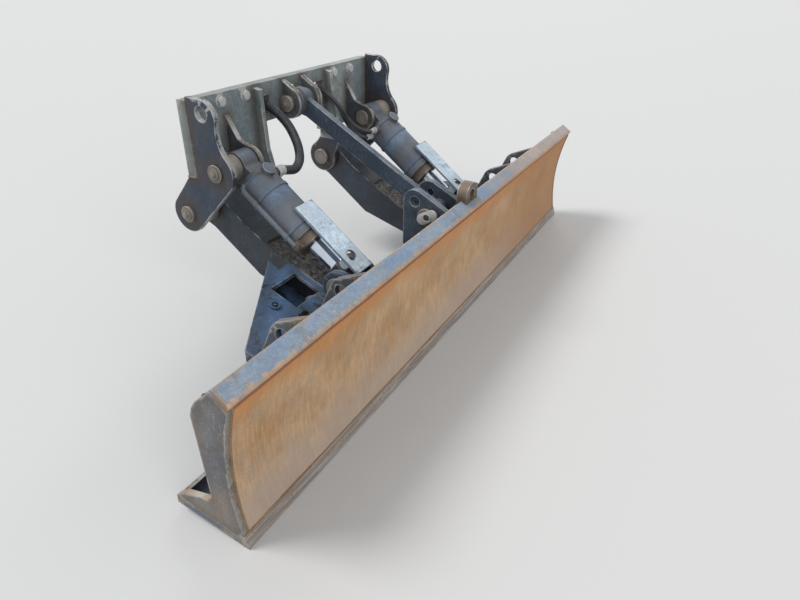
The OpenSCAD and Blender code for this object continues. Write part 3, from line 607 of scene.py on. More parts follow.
def setValues(mesh, **rows):
    for name, values in rows.items():
        mesh.attributes.new(name, "FLOAT", "POINT").data.foreach_set("value", np.asarray(values, np.float32))


def upwardness(mesh):
    return readRows(mesh.vertex_normals, "vector")[:, 2]


# The solids as plain triangles, for the distance from one piece to those round it
solids = {}
for name, obj in frame["nodes"].items():
    obj.data.calc_loop_triangles()
    solids[name] = (pointsOf(obj.data), readRows(obj.data.loop_triangles, "vertices", kind=np.int32))


# A merged copy of a solid, with flat faces joined
def mergedCopy(node):
    b = bmesh.new()
    b.from_mesh(frame["nodes"][node].data)
    bmesh.ops.remove_doubles(b, verts=b.verts, dist=2e-5)
    bmesh.ops.dissolve_limit(b, angle_limit=math.radians(0.6), use_dissolve_boundaries=False,
                             verts=b.verts, edges=b.edges)
    return b


# Each edge between two faces with the degrees it turns by, outwards above zero and inwards below
def turnsOf(b):
    return [(line, math.degrees(line.calc_face_angle_signed(0))) for line in b.edges if len(line.link_faces) == 2]


# How a solid is dressed: degrees of a corner that is worn, rounded and shaded sharp, and shortest edge in metres
dressing = {"worn": 28, "rounded": 40, "shaded": 38, "shortest": 0.0015}
# Metres: the box round a piece, how far a neighbour is looked for, and what stands for far away
wear = {"margin": 0.05, "search": 0.06, "far": 0.2, "trimFar": 0.02}


# Edges that turn outwards and edges that turn inwards, each as [start, end] rows
def creases(b):
    turns = turnsOf(b)
    return [np.array([[list(v.co) for v in line.verts] for line, turn in turns
                      if turn * way > dressing["worn"]]).reshape(-1, 2, 3) for way in (1, -1)]


# Distance of each point to the nearest of the segments
def toSegments(points, segments, batch=64):
    nearest = np.full(len(points), wear["far"])
    for start in range(0, len(segments), batch):
        a = segments[start:start + batch, 0][None]
        d = segments[start:start + batch, 1][None] - a
        gap = points[:, None] - a
        t = np.clip((gap * d).sum(-1) / np.maximum((d * d).sum(-1), 1e-12), 0, 1)
        nearest = np.minimum(nearest, np.linalg.norm(gap - d * t[..., None], axis=-1).min(1))
    return nearest


# Writes what the finishes read: the distance to the outward edges, to whatever is near, and how level the place is
def wearMap(obj, outward, inward, node):
    points = pointsOf(obj.data)
    low, high = points.min(0) - wear["margin"], points.max(0) + wear["margin"]
    near = [(p, t) for name, (p, t) in solids.items()
            if name != node and (p.min(0) < high).all() and (p.max(0) > low).all()]
    starts = np.cumsum([0] + [len(p) for p, t in near[:-1]])
    tree = BVHTree.FromPolygons(np.concatenate([p for p, t in near]).tolist(),
                                np.concatenate([t + s for (p, t), s in zip(near, starts)]).tolist())
    found = [tree.find_nearest(p, wear["search"])[3] for p in points.tolist()]
    # nearness to inward edges and to other solids, read for the painted shade and the dust in corners
    nook = np.minimum(toSegments(points, inward), [wear["far"] if d is None else d for d in found])
    setValues(obj.data, edge=toSegments(points, outward), nook=nook, top=upwardness(obj.data))


# Cuts a mesh into cells by planes across each axis
def cutCells(b, cell):
    places = np.array([v.co for v in b.verts])
    for axis, normal in enumerate(np.eye(3)):
        low, high = places[:, axis].min(), places[:, axis].max()
        for level in np.linspace(low, high, max(2, round((high - low) / cell) + 1))[1:-1]:
            bmesh.ops.bisect_plane(b, geom=b.verts[:] + b.edges[:] + b.faces[:], plane_co=normal * level,
                                   plane_no=normal, dist=2e-4)


# The finished copy of a solid: edges rounded, cut into cells, its wear measured; second is a second finish and a
# test of the places that have it
def dress(node, finish, rounding, cell, second=None):
    b = mergedCopy(node)
    outward, inward = creases(b)
    sharp = [line for line, turn in turnsOf(b)
             if turn > dressing["rounded"] and line.calc_length() > dressing["shortest"]]
    bmesh.ops.bevel(b, geom=sharp, offset=rounding / 1000, offset_type="OFFSET", segments=2, profile=0.5,
                    affect="EDGES", clamp_overlap=True, miter_outer="SHARP")
    cutCells(b, cell / 1000)
    bmesh.ops.triangulate(b, faces=[f for f in b.faces if len(f.verts) > 4])
    mesh = bpy.data.meshes.new(node + "_dressed")
    b.to_mesh(mesh)
    b.free()
    mesh.shade_smooth()
    mesh.set_sharp_from_angle(angle=math.radians(dressing["shaded"]))
    mesh.materials.append(bpy.data.materials[finish])
    if second:
        mesh.materials.append(bpy.data.materials[second[0]])
        mesh.polygons.foreach_set("material_index", second[1](readRows(mesh.polygons, "center")).astype(np.int32))
    obj = addObject(node + "_dressed", mesh)
    wearMap(obj, outward, inward, node)
    obj.modifiers.new("evenShading", "WEIGHTED_NORMAL").keep_sharp = True
    return giveBody(obj, frame["nodes"][node]["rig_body"], finish, node)


cylinderWay, cylinderRise = lineAxes(size["base"], size["rodPin"])


chromeGap = 0.2


# The chromed part of a rod: what lies before its block, measured from the base pin in millimetres
def isChromed(points):
    return (points - spots([0, *size["base"]])) @ cylinderWay * 1000 < size["blockStart"] - chromeGap


# A name that ends in an underscore stands for its left and its right piece
def bothNames(stem):
    return [stem + "left", stem + "right"] if stem.endswith("_") else [stem]


# Solids that keep their form: finish, rounding of the edges and size of the cells
plain = {
    "bracket_plate": ("platePaint", 2.5, 24), "bracket_ribs": ("platePaint", 2, 24),
    "outer_ear_": ("earPaint", 2.5, 20), "inner_ears": ("innerPaint", 2, 18), "root_legs": ("earPaint", 2, 24),
    "centre_ears": ("innerPaint", 2.5, 18), "link_root_pin": ("pinSteel", 2, 14),
    "base_pins": ("pinSteel", 2, 14), "root_pins": ("pinSteel", 2, 18),
    "arm_": ("armPaint", 4, 26), "flare_": ("flarePaint", 1.6, 24), "upper_link": ("linkPaint", 3, 22),
    "barrel_": ("barrelPaint", 2, 18), "gland_": ("glandSteel", 1.5, 12),
    "guard_": ("guardPaint", 1.5, 14), "rod_pin_": ("pinSteel", 2, 14),
    "back_plate": ("bladePaint", 2, 40), "foot_plate": ("footPaint", 2.5, 32), "end_plate_": ("endPaint", 2.5, 18),
    "pivot_lugs": ("bladePaint", 2.5, 18), "link_lugs": ("linkPaint", 2.5, 16),
    "lifting_eye": ("eyeRust", 3, 10), "pivot_pins": ("pinSteel", 2, 20), "link_front_pin": ("pinSteel", 2, 12),
    "rod_": ("armPaint", 2, 16, ("rodChrome", isChromed)),
}
for stem, look in plain.items():
    for node in bothNames(stem):
        dress(node, *look)
print("stage: solids dressed")

# The section of the blade as [back, up], in millimetres: arcs round one centre in front of the face
faceTop = np.array([-size["faceLean"], size["faceHeight"]], float)
chord = np.linalg.norm(faceTop)
arcRadius = (chord ** 2 / 4 + size["faceSag"] ** 2) / (2 * size["faceSag"])
arcCentre = faceTop / 2 - np.array([size["faceHeight"], size["faceLean"]]) / chord * (arcRadius - size["faceSag"])
tilt = math.radians(size["railTilt"])
railWay, railDown = np.array([math.cos(tilt), math.sin(tilt)]), np.array([math.sin(tilt), -math.cos(tilt)])


# Points of the arc that stands a given step behind the face, from one height to another
def arcPoints(step, low, high, count):
    reach = arcRadius + step
    angle = np.arcsin((np.linspace(low, high, count) - arcCentre[1]) / reach)
    return arcCentre + reach * np.stack([np.cos(angle), np.sin(angle)], -1)


# Heights between which an arc meets the slope under the rail, and how many of them are tried
slopeSearch = (300, 466, 400)


# The height at which an arc meets the slope under the rail
def railMeets(step):
    foot = faceTop + (size["railThick"] + size["seat"]) * railDown
    line = arcPoints(step, *slopeSearch)
    over = line[:, 1] - foot[1] - (line[:, 0] - foot[0]) * math.tan(tilt)
    return float(np.interp(0, over, line[:, 1]))


# A closed section of [back, up] carried along the blade: point(i, j) = (x_i, section_j)
def carried(section, stations):
    points = np.zeros((len(stations), len(section), 3))
    points[..., 0] = stations[:, None]
    points[..., 1:] = section[None]
    return points


# A sum of smooth dents: depth * exp(-(distance / width) squared) of each, over x and height
def dents(points, marks):
    push = np.zeros(points.shape[:-1])
    for x, up, width, depth in marks:
        push += depth * np.exp(-((points[..., 0] - x) ** 2 + (points[..., 2] - up) ** 2) / width ** 2)
    return push


# Knocks along an edge: the greatest depth * exp(-(distance / width) squared) at each station
def knocks(stations, rule):
    x, depth, width = (dice.uniform(*rule[key], rule["marks"])[:, None] for key in ("span", "depth", "width"))
    return (depth * np.exp(-((stations - x) / width) ** 2)).max(0)


# Moves the points near a corner of the section: push_i * exp(-(distance to the corner / reach) squared)
def pushCorner(points, section, corner, push, rule):
    near = np.exp(-(np.linalg.norm(section - corner, axis=1) / rule["reach"]) ** 2)
    points[..., 1:] += np.outer(push, near)[..., None] * rule["pushTo"]


# Length along a path up to each of its points
def runOf(path):
    return np.concatenate([[0], np.cumsum(np.linalg.norm(np.diff(path, axis=0), axis=1))])


# A UV map from each point's u and v, in metres: along the blade and up its section, or along a hose and round it
def sheetMap(mesh, u, v):
    corner = readRows(mesh.loops, "vertex_index", 1, np.int32)[:, 0]
    layer = mesh.uv_layers.new(name="sheet")
    layer.data.foreach_set("uv", np.stack([u[corner], v[corner]], -1).astype(np.float32).ravel())


face = {"stations": 300, "rows": 44, "marks": 46, "x": (-1200, 1200), "up": (60, 440), "width": (25, 120),
        "depth": (-1.6, 1.2), "top": 452, "border": 30}


def makeFace():
    half = size["bladeHalf"] - size["endThick"] - size["seat"]
    low = size["edgeHeight"] + size["seat"]
    front, rear = (arcPoints(step, low, railMeets(step), face["rows"])
                   for step in (size["faceStep"], size["faceStep"] + size["faceThick"]))
    stations = np.linspace(-half, half, face["stations"])
    points = carried(np.concatenate([front, rear[::-1]]), stations)
    marks = np.stack([dice.uniform(*face[key], face["marks"]) for key in ("x", "up", "width", "depth")], -1)
    inside = np.minimum(half - abs(points[..., 0]), np.minimum(points[..., 2] - low, face["top"] - points[..., 2]))
    push = dents(points, marks) * np.clip(inside / face["border"], 0, 1)
    points[:, :face["rows"], 1] += push[:, :face["rows"]]
    obj = addMesh("blade_face", spots(points), sweptFaces(*points.shape[:2]), "faceRust")
    arc = runOf(front) / 1000
    sheetMap(obj.data, (points[..., 0] / 1000).ravel(), np.tile(np.concatenate([arc, arc[::-1]]), len(stations)))
    return giveBody(obj, "blade", "faceRust", "face_plate")


# A section of corners in order, each rounded by an arc of its radius
def roundedSection(corners, radius, steps=4):
    corners = np.asarray(corners, float)
    rounds = []
    for k, corner in enumerate(corners):
        before, after = unit(corners[k - 1] - corner), unit(corners[(k + 1) % len(corners)] - corner)
        half = math.acos(np.clip(before @ after, -1, 1)) / 2
        middle = corner + unit(before + after) * radius / math.sin(half)
        a, b = corner + before * radius / math.tan(half) - middle, corner + after * radius / math.tan(half) - middle
        turn = math.acos(np.clip(a @ b / radius ** 2, -1, 1))
        t = np.linspace(0, 1, steps)[:, None]
        rounds.append(middle + (np.sin((1 - t) * turn) * a + np.sin(t * turn) * b) / math.sin(turn))
    return np.concatenate(rounds)


# Splits the long sides of a section into steps no longer than a given length
def divided(section, longest):
    parts = []
    for a, b in zip(section, np.roll(section, -1, axis=0)):
        count = max(1, math.ceil(np.linalg.norm(b - a) / longest))
        parts.append(a + (b - a) * np.arange(count)[:, None] / count)
    return np.concatenate(parts)


# The ends are rounded in steps along x, each with its inset; knocks press the front corner down and back
rail = {"stations": 320, "rounding": 4, "cell": 7, "endSteps": (0, 0.8, 2.2, 4.0), "endInsets": (2.8, 1.6, 0.6, 0),
        "inner": 9, "marks": 70, "span": (-1240, 1240), "depth": (0.4, 2.4), "width": (8, 30), "reach": 10,
        "pushTo": (0.9, -0.7)}


def makeRail():
    wide, thick = size["railWidth"] * railWay, size["railThick"] * railDown
    corners = [faceTop, faceTop + thick, faceTop + wide + thick, faceTop + wide]
    section = divided(roundedSection(corners, rail["rounding"]), rail["cell"])
    half = size["bladeHalf"]
    ends = np.array(rail["endSteps"])
    left, right, cut = size["eyeNotch"]
    inner = np.linspace(-half + rail["inner"], half - rail["inner"], rail["stations"])
    inner = inner[(abs(inner - left) > 1) & (abs(inner - right) > 1)]
    stations = np.concatenate([-half + ends, np.sort([*inner, left, left, right, right]), half - ends[::-1]])
    points = carried(section, stations)
    # between the notch's ends the section stops at the notch's front
    first, last = np.flatnonzero(stations == left)[1], np.flatnonzero(stations == right)[0]
    span = points[first:last + 1]
    top, low = (corner[1] + (cut - corner[0]) * math.tan(tilt) for corner in corners[:2])
    span[..., 2] = np.where(span[..., 1] > cut, np.clip(span[..., 2], low, top), span[..., 2])
    span[..., 1] = np.minimum(span[..., 1], cut)
    shrink = np.interp(half - abs(stations), rail["endSteps"], rail["endInsets"])
    points[..., 1:] += shrink[:, None, None] * unit(section.mean(0) - section)
    pushCorner(points, section, faceTop, knocks(stations, rail), rail)
    obj = addMesh("blade_rail", spots(points), sweptFaces(*points.shape[:2]), "railWorn", merge=True)
    front = layout(pointsOf(obj.data))[:, 1:] - faceTop
    setValues(obj.data, front=np.linalg.norm(front, axis=1) / 1000)
    wearMap(obj, *creases(mergedCopy("top_rail")), "top_rail")
    return giveBody(obj, "blade", "railWorn", "top_rail")


cutting = {"stations": 360, "rounding": 1.6, "cell": 6, "wave": 1.3, "waves": (97, 41), "marks": 60,
           "span": (-1240, 1240), "depth": (0.5, 2.4), "width": (4, 16), "reach": 9, "pushTo": (0.5, 1)}


def makeCuttingEdge():
    high = size["edgeHeight"]
    front, rear = (arcPoints(step, 0, high, 9) for step in (0, size["edgeThick"]))
    section = divided(roundedSection([front[0], rear[0], rear[-1], front[-1]], cutting["rounding"]), cutting["cell"])
    # the flat front of the rounded section follows the arc of the face
    section[:, 0] += (np.interp(section[:, 1], front[:, 1], front[:, 0])
                      - np.interp(section[:, 1], [0, high], [front[0, 0], front[-1, 0]]))
    stations = np.linspace(-size["bladeHalf"], size["bladeHalf"], cutting["stations"])
    points = carried(section, stations)
    long, short = cutting["waves"]
    wave = cutting["wave"] * (0.5 + 0.5 * np.sin(stations / long) * np.sin(stations / short + 1))
    pushCorner(points, section, front[0], knocks(stations, cutting) + wave, cutting)
    obj = addMesh("blade_cutting_edge", spots(points), sweptFaces(*points.shape[:2]), "scrapedSteel")
    return giveBody(obj, "blade", "scrapedSteel", "cutting_edge")


makeFace()
makeRail()
makeCuttingEdge()
print("stage: blade made")


# Unit directions round an axis, one for each angle: cos a u + sin a v
def around(axis, angle):
    u = unit(np.cross(axis, [0.31, 0.87, 0.37]))
    return np.cos(angle)[:, None] * u + np.sin(angle)[:, None] * np.cross(axis, u)


def fullTurn(sides):
    return np.arange(sides) * 2 * math.pi / sides


# A round profile carried along a path: ring(i, j) = path_i + radius_i (cos a_j u_i + sin a_j v_i), where u and v
# are square to the path and carried from one station to the next without twist
def tube(path, radius, sides):
    path = np.asarray(path, float)
    ahead = unit(np.gradient(path, axis=0))
    across = [around(ahead[0], np.zeros(1))[0]]
    for way in ahead[1:]:
        across.append(unit(across[-1] - (across[-1] @ way) * way))
    u = np.array(across)
    v = np.cross(ahead, u)
    angle = fullTurn(sides)[None, :, None]
    radius = np.broadcast_to(radius, (len(path),))[:, None, None]
    rings = path[:, None] + radius * (np.cos(angle) * u[:, None] + np.sin(angle) * v[:, None])
    return rings.reshape(-1, 3), sweptFaces(len(path), sides)


# A smooth curve through points: each span blends its four nearest points with cubic weights
def smoothPath(points, steps):
    p = np.asarray(points, float)
    p = np.concatenate([[2 * p[0] - p[1]], p, [2 * p[-1] - p[-2]]])
    t = (np.arange(steps) / steps)[:, None]
    runs = [0.5 * (2 * b + (c - a) * t + (2 * a - 5 * b + 4 * c - d) * t ** 2 + (3 * b - 3 * c + d - a) * t ** 3)
            for a, b, c, d in zip(p, p[1:], p[2:], p[3:])]
    return np.concatenate(runs + [p[-2:-1]])


# A turned form: ring(i, j) = start + s_i axis + r_i (cos a_j u + sin a_j v), with profile rows of [s, r]
def turned(start, axis, profile, sides, closed=False):
    axis = unit(axis)
    profile = np.asarray(profile, float)
    ring = around(axis, fullTurn(sides))
    points = np.asarray(start) + profile[:, :1, None] * axis + profile[:, 1:, None] * ring[None]
    return points.reshape(-1, 3), sweptFaces(len(profile), sides, closed)


# Millimetres, and shares of half the width across flats at the crown, on top and at the washer's inner edge
hexForm = {"sides": 48, "turn": 0.2, "rim": 0.6, "washerRim": 0.5, "chamfer": 2.2, "crown": 0.4, "washerSides": 36,
           "atCrown": 1.02, "onTop": 0.9, "inWasher": 0.7}


# A hexagon head on its washer: the radius at angle a is flat / cos(a within 30 degrees), cut by a cone at the top
def hexHead(place, axis, flat, height, washer):
    axis = unit(axis)
    wide, thick = washer
    rim = hexForm["rim"]
    angle = fullTurn(hexForm["sides"]) + hexForm["turn"]
    hexagon = flat / np.cos(angle % (math.pi / 3) - math.pi / 6)
    rows = [(0, hexagon - rim), (rim, hexagon), (height - hexForm["chamfer"], hexagon),
            (height - hexForm["crown"], np.minimum(hexagon, flat * hexForm["atCrown"])),
            (height, np.full(hexForm["sides"], flat * hexForm["onTop"]))]
    ring = around(axis, angle)
    points = np.concatenate([np.asarray(place) + (thick + s) * axis + r[:, None] * ring for s, r in rows])
    disc = turned(place, axis, [(0, wide - hexForm["washerRim"]), (rim, wide), (thick - rim, wide),
                                (thick, wide - rim), (thick, flat * hexForm["inWasher"])], hexForm["washerSides"])
    return gather([(points, sweptFaces(len(rows), hexForm["sides"])), disc])


# The drops of a weld bead: their length and height, how they drift and sway, and the bead's thin ends
drops = {"length": 5.5, "height": 0.13, "drift": 0.6, "driftLength": 17, "sway": 0.05, "swayLength": 9,
         "tip": 0.15, "radius": 0.8, "sides": 8, "fewest": 8}


# A weld bead: a low half round carried along a path, its width and height rippled by overlapping drops
def bead(path, width, step=1.5):
    path = np.asarray(path, float)
    run = runOf(path)
    s = np.linspace(0, run[-1], max(drops["fewest"], int(run[-1] / step)))
    line = np.stack([np.interp(s, run, path[:, k]) for k in range(3)], -1)
    drift = drops["drift"] * np.sin(s / drops["driftLength"])
    ripple = (1 + drops["height"] * np.abs(np.sin(s * math.pi / drops["length"] + drift))
              + drops["sway"] * np.sin(s / drops["swayLength"]))
    taper = np.clip(np.minimum(s, run[-1] - s) / width, drops["tip"], 1) ** 0.5
    return tube(line, width * ripple * taper * drops["radius"], drops["sides"])


# Mirrors points across the middle of the blade, with their faces turned over
def mirrored(form):
    points, faces = form
    return np.asarray(points) * [-1, 1, 1], [corners[::-1] for corners in faces]


def bothSides(forms):
    return forms + [mirrored(form) for form in forms]


# Forms made for the right side, mirrored where they belong to the left
def onSide(sideName, forms):
    return [mirrored(form) for form in forms] if sideName == "left" else forms


# Degrees over which a trim piece is shaded sharp: machined pieces, and hoses, grease and stones
crisp, soft = 30, 60


def addForms(name, forms, body, finish, smooth=40, nodes=()):
    points, faces = gather(forms)
    obj = addMesh(name, spots(points), faces, finish, smooth)
    far = np.full(len(obj.data.vertices), wear["trimFar"])
    setValues(obj.data, edge=far, nook=far, top=upwardness(obj.data))
    return giveBody(obj, body, finish, *nodes)


# Each edge's ends joined into chains of points, in metres
def chained(lines):
    left, chains = dict.fromkeys(lines), []
    while left:
        chain = list(left.popitem()[0].verts)
        for end in range(2):
            ahead = True
            while ahead:
                ahead = next((e for e in chain[-1].link_edges if e in left), None)
                if ahead:
                    del left[ahead]
                    chain.append(ahead.other_vert(chain[-1]))
            chain.reverse()
        chains.append(np.array([v.co for v in chain]))
    return chains


# Degrees of the corners that are welded, how near the other solid lies in metres, shortest bead and step in mm
weldRule = {"outward": 28, "inward": -50, "touch": 0.0009, "shortest": 25, "step": 2.4}


# A solid's seams as chains: its outward edges that lie on another solid, or its inward edges where none is named
def seams(node, other):
    b = mergedCopy(node)
    if other:
        points, triangles = solids[other]
        tree = BVHTree.FromPolygons(points.tolist(), triangles.tolist())
        near = lambda p: tree.find_nearest(p, weldRule["touch"])[3] is not None
        lines = [e for e, turn in turnsOf(b) if turn > weldRule["outward"] and near(e.verts[0].co)
                 and near(e.verts[1].co) and near((e.verts[0].co + e.verts[1].co) / 2)]
    else:
        lines = [e for e, turn in turnsOf(b) if turn < weldRule["inward"]]
    chains = chained(lines)
    b.free()
    return [layout(chain) for chain in chains]


# Where plates are welded: a piece, the piece it stands on or none for its own corners, finish, width of the bead
welds = [
    ("bracket_ribs", "bracket_plate", "darkWeld", 4.5), ("outer_ear_", "bracket_plate", "darkWeld", 5),
    ("inner_ears", "bracket_plate", "darkWeld", 5), ("root_legs", "bracket_plate", "darkWeld", 5),
    ("centre_ears", "bracket_plate", "darkWeld", 5), ("pivot_lugs", "back_plate", "darkWeld", 5.5),
    ("pivot_lugs", "foot_plate", "darkWeld", 5), ("link_lugs", "back_plate", "darkWeld", 5.5),
    ("lifting_eye", "top_rail", "rustWeld", 4), ("face_plate", "end_plate_", "rustWeld", 4),
    ("back_plate", "end_plate_", "darkWeld", 4), ("end_plate_", "foot_plate", "darkWeld", 4),
    ("arm_", "", "darkWeld", 3.5), ("flare_", "", "darkWeld", 3.5), ("upper_link", "", "darkWeld", 3.5),
]
# The bead between the face and the cutting edge
edgeBead = {"half": 1230, "stations": 160, "sunk": 1, "aim": 4, "above": 1.5, "wave": 0.6, "waveLength": 61,
            "width": 3.4}


def makeWelds():
    pairs = [(node, other, finish, width) for stem, otherStem, finish, width in welds
             for node in bothNames(stem) for other in bothNames(otherStem)]
    for node, other, finish, width in pairs:
        paths = [path for path in seams(node, other) if runOf(path)[-1] > weldRule["shortest"]]
        if paths:
            name = "weld_" + node + ("_to_" + other if other else "")
            addForms(name, [bead(path, width, weldRule["step"]) for path in paths],
                     frame["nodes"][node]["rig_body"], finish)
    x = np.linspace(-edgeBead["half"], edgeBead["half"], edgeBead["stations"])
    high = size["edgeHeight"]
    back = arcPoints(size["faceStep"] - edgeBead["sunk"], high, high + edgeBead["aim"], 2)[1, 0]
    up = high + edgeBead["above"] + edgeBead["wave"] * np.sin(x / edgeBead["waveLength"])
    path = np.stack([x, np.full(len(x), back), up], -1)
    addForms("weld_cutting_edge", [bead(path, edgeBead["width"], weldRule["step"])], "blade", "rustWeld")


makeWelds()
print("stage: welds made")

bolts = {"columns": (270, 390), "rise": 99, "flat": 15, "height": 12, "washer": (21, 3.5)}


def makeBolts():
    forms = [hexHead((x, size["plateFront"], size["mountHeight"] + z), (0, -1, 0), bolts["flat"], bolts["height"],
                     bolts["washer"])
             for x in bolts["columns"] for z in (-bolts["rise"], bolts["rise"])]
    addForms("bracket_bolts", bothSides(forms), "carrier", "zincSteel", crisp)


makeBolts()

# Pin ends: x of the end, its place, the disc's radius and thickness, half the bolt's width across flats, and body
pinEnds = {
    "root": (548, size["root"], (20, 5), 11, "carrier"),
    "base": (546, size["base"], (19, 4), 9, "carrier"),
    "link_root": (86, size["linkRoot"], (17, 4), 8, "carrier"),
    "pivot": (905, size["pivot"], (24, 5), 12, "blade"),
}
boltHeight = 0.8
# The keepers on the link's front pin; their rings are rows of height and inset, their profiles rows of height and
# radius
keeper = {
    "x": 82, "thick": 8, "half": 21, "run": 45, "turn": 150, "roundPoints": 14, "cell": 8,
    "rings": [(0, 0), (6.8, 0), (7.64, 0.6), (8, 1.44)],
    "collar": [(0, 12), (0, 17), (2.5, 16.2), (2.5, 12.6)], "grease": [(-2, 12.4), (0.6, 12.4), (1, 6), (1.6, 2)],
}
boxRing = {"place": (650, 395, 264.7), "tilt": 21,
           "profile": [(-2, 11.5), (-2, 19), (7, 18), (8, 17), (8, 12.5), (7, 11.5)]}
ringSides = 36


# A plate of a flat outline: at each ring's x the outline is drawn in by the ring's inset
def plateForm(outline, rings):
    inward = unit(outline.mean(0) - outline)
    points = np.concatenate([np.insert(outline + inward * inset, 0, x, axis=1) for x, inset in rings])
    return points, sweptFaces(len(rings), len(outline))


def makePinEnds():
    for name, (x, place, disc, flat, body) in pinEnds.items():
        head = hexHead((x, *place), (1, 0, 0), flat, boltHeight * flat, disc)
        addForms("pin_end_" + name, bothSides([head]), body, "pinSteel", crisp)
    # the keepers are two half circles and the straight sides between them
    a = np.linspace(-math.pi / 2, math.pi / 2, keeper["roundPoints"])
    half, run, turn = keeper["half"], keeper["run"], math.radians(keeper["turn"])
    oval = np.concatenate([np.stack([run / 2 + half * np.cos(a), half * np.sin(a)], -1),
                           np.stack([-run / 2 - half * np.cos(a), -half * np.sin(a)], -1)])
    way = np.array([math.cos(turn), math.sin(turn)])
    centre = size["linkFront"] + run / 4 * way
    outline = divided(oval @ [way, (-way[1], way[0])] + centre, keeper["cell"])
    plate = plateForm(outline, [(keeper["x"] + rise, inset) for rise, inset in keeper["rings"]])
    top = (keeper["x"] + keeper["thick"], *centre)
    collar = turned(top, (1, 0, 0), keeper["collar"], ringSides, True)
    addForms("link_keepers", bothSides([plate, collar]), "blade", "zincSteel", crisp)
    grease = turned(top, (1, 0, 0), keeper["grease"], ringSides)
    addForms("keeper_grease", bothSides([grease]), "blade", "dirtGrey", soft)
    # a raised ring stands on each box round its drain, square to the sloping top
    lean = math.radians(boxRing["tilt"])
    ring = turned(boxRing["place"], (0, -math.sin(lean), math.cos(lean)), boxRing["profile"], ringSides, True)
    addForms("box_rings", bothSides([ring]), "lower_arms", "flarePaint", crisp)


makePinEnds()


# Points on a cylinder, from rows of: across it, up from its axis and along it from the base pin
def onCylinder(rows):
    return np.array([size["cylX"], *size["base"]]) + np.asarray(rows, float) @ [(1, 0, 0), cylinderRise, cylinderWay]


# Profiles are rows of [along, radius], places rows for onCylinder, a head its half width across flats and height
cylinder = {
    "weldAt": 85, "weldR": 69.5, "weldPoints": 90, "weldWidth": 4,
    "pipe": [(60, 6, 84), (72, 6, 84), (81, 4, 92), (82, 0, 108), (81, 0, 140), (81, 0, 220), (81, 0, 300),
             (81, 0, 336), (79, 0, 350), (68, 0, 358), (54, 0, 359)],
    "pipeR": 8, "pipeX": 81, "pipeSteps": 10, "sides": 20, "clampAt": (150, 300), "clampSides": 56, "saddleSides": 24,
    "clamp": [(0, 70.2), (0, 71.6), (0.6, 72.2), (11.4, 72.2), (12, 71.6), (12, 70.2)],
    "saddle": [(0, 8.3), (0, 10.2), (12, 10.2), (12, 8.3)],
    "block": [(-15, 344), (15, 344), (15, 374), (-15, 374)], "blockRounding": 3, "blockCell": 6,
    "blockRings": [(52, 0), (72.6, 0), (73.6, 0.6), (74, 1.6)],
    "nut": (74, 0, 358.5), "nutHead": (11, 8), "guardBolt": (0, 70, 499.8), "boltHead": (9, 8), "washer": (13, 2),
    "shank": [(-26, 6), (0, 6)],
}


def makeCylinderTrim(sideName):
    def add(name, forms, finish, smooth=40, nodes=(), body="barrel_" + sideName):
        addForms(name + sideName, onSide(sideName, forms), body, finish, smooth, nodes)

    a = np.linspace(0, 2 * math.pi, cylinder["weldPoints"])
    circle = np.stack([cylinder["weldR"] * np.sin(a), cylinder["weldR"] * np.cos(a),
                       np.full(len(a), cylinder["weldAt"])], -1)
    add("weld_ring_", [bead(onCylinder(circle), cylinder["weldWidth"])], "barrelPaint")
    pipe = tube(smoothPath(onCylinder(cylinder["pipe"]), cylinder["pipeSteps"]), cylinder["pipeR"], cylinder["sides"])
    add("steel_pipe_", [pipe], "barrelPaint", nodes=["pipe_" + sideName])
    clamps = [turned(onCylinder((x, 0, s)), cylinderWay, cylinder[key], cylinder[key + "Sides"], True)
              for s in cylinder["clampAt"] for x, key in ((0, "clamp"), (cylinder["pipeX"], "saddle"))]
    add("pipe_clamps_", clamps, "barrelPaint", crisp)
    outline = divided(roundedSection(cylinder["block"], cylinder["blockRounding"]), cylinder["blockCell"])
    points, faces = plateForm(outline, cylinder["blockRings"])
    nut = hexHead(onCylinder(cylinder["nut"]), (1, 0, 0), *cylinder["nutHead"], cylinder["washer"])
    add("pipe_block_", [(onCylinder(points), faces), nut], "glandSteel", crisp)
    seat = onCylinder(cylinder["guardBolt"])
    bolt = [hexHead(seat, cylinderRise, *cylinder["boltHead"], cylinder["washer"]),
            turned(seat, cylinderRise, cylinder["shank"], cylinder["sides"])]
    add("guard_bolt_", bolt, "eyeRust", crisp, body=frame["nodes"]["guard_" + sideName]["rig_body"])


makeCylinderTrim("left")
makeCylinderTrim("right")

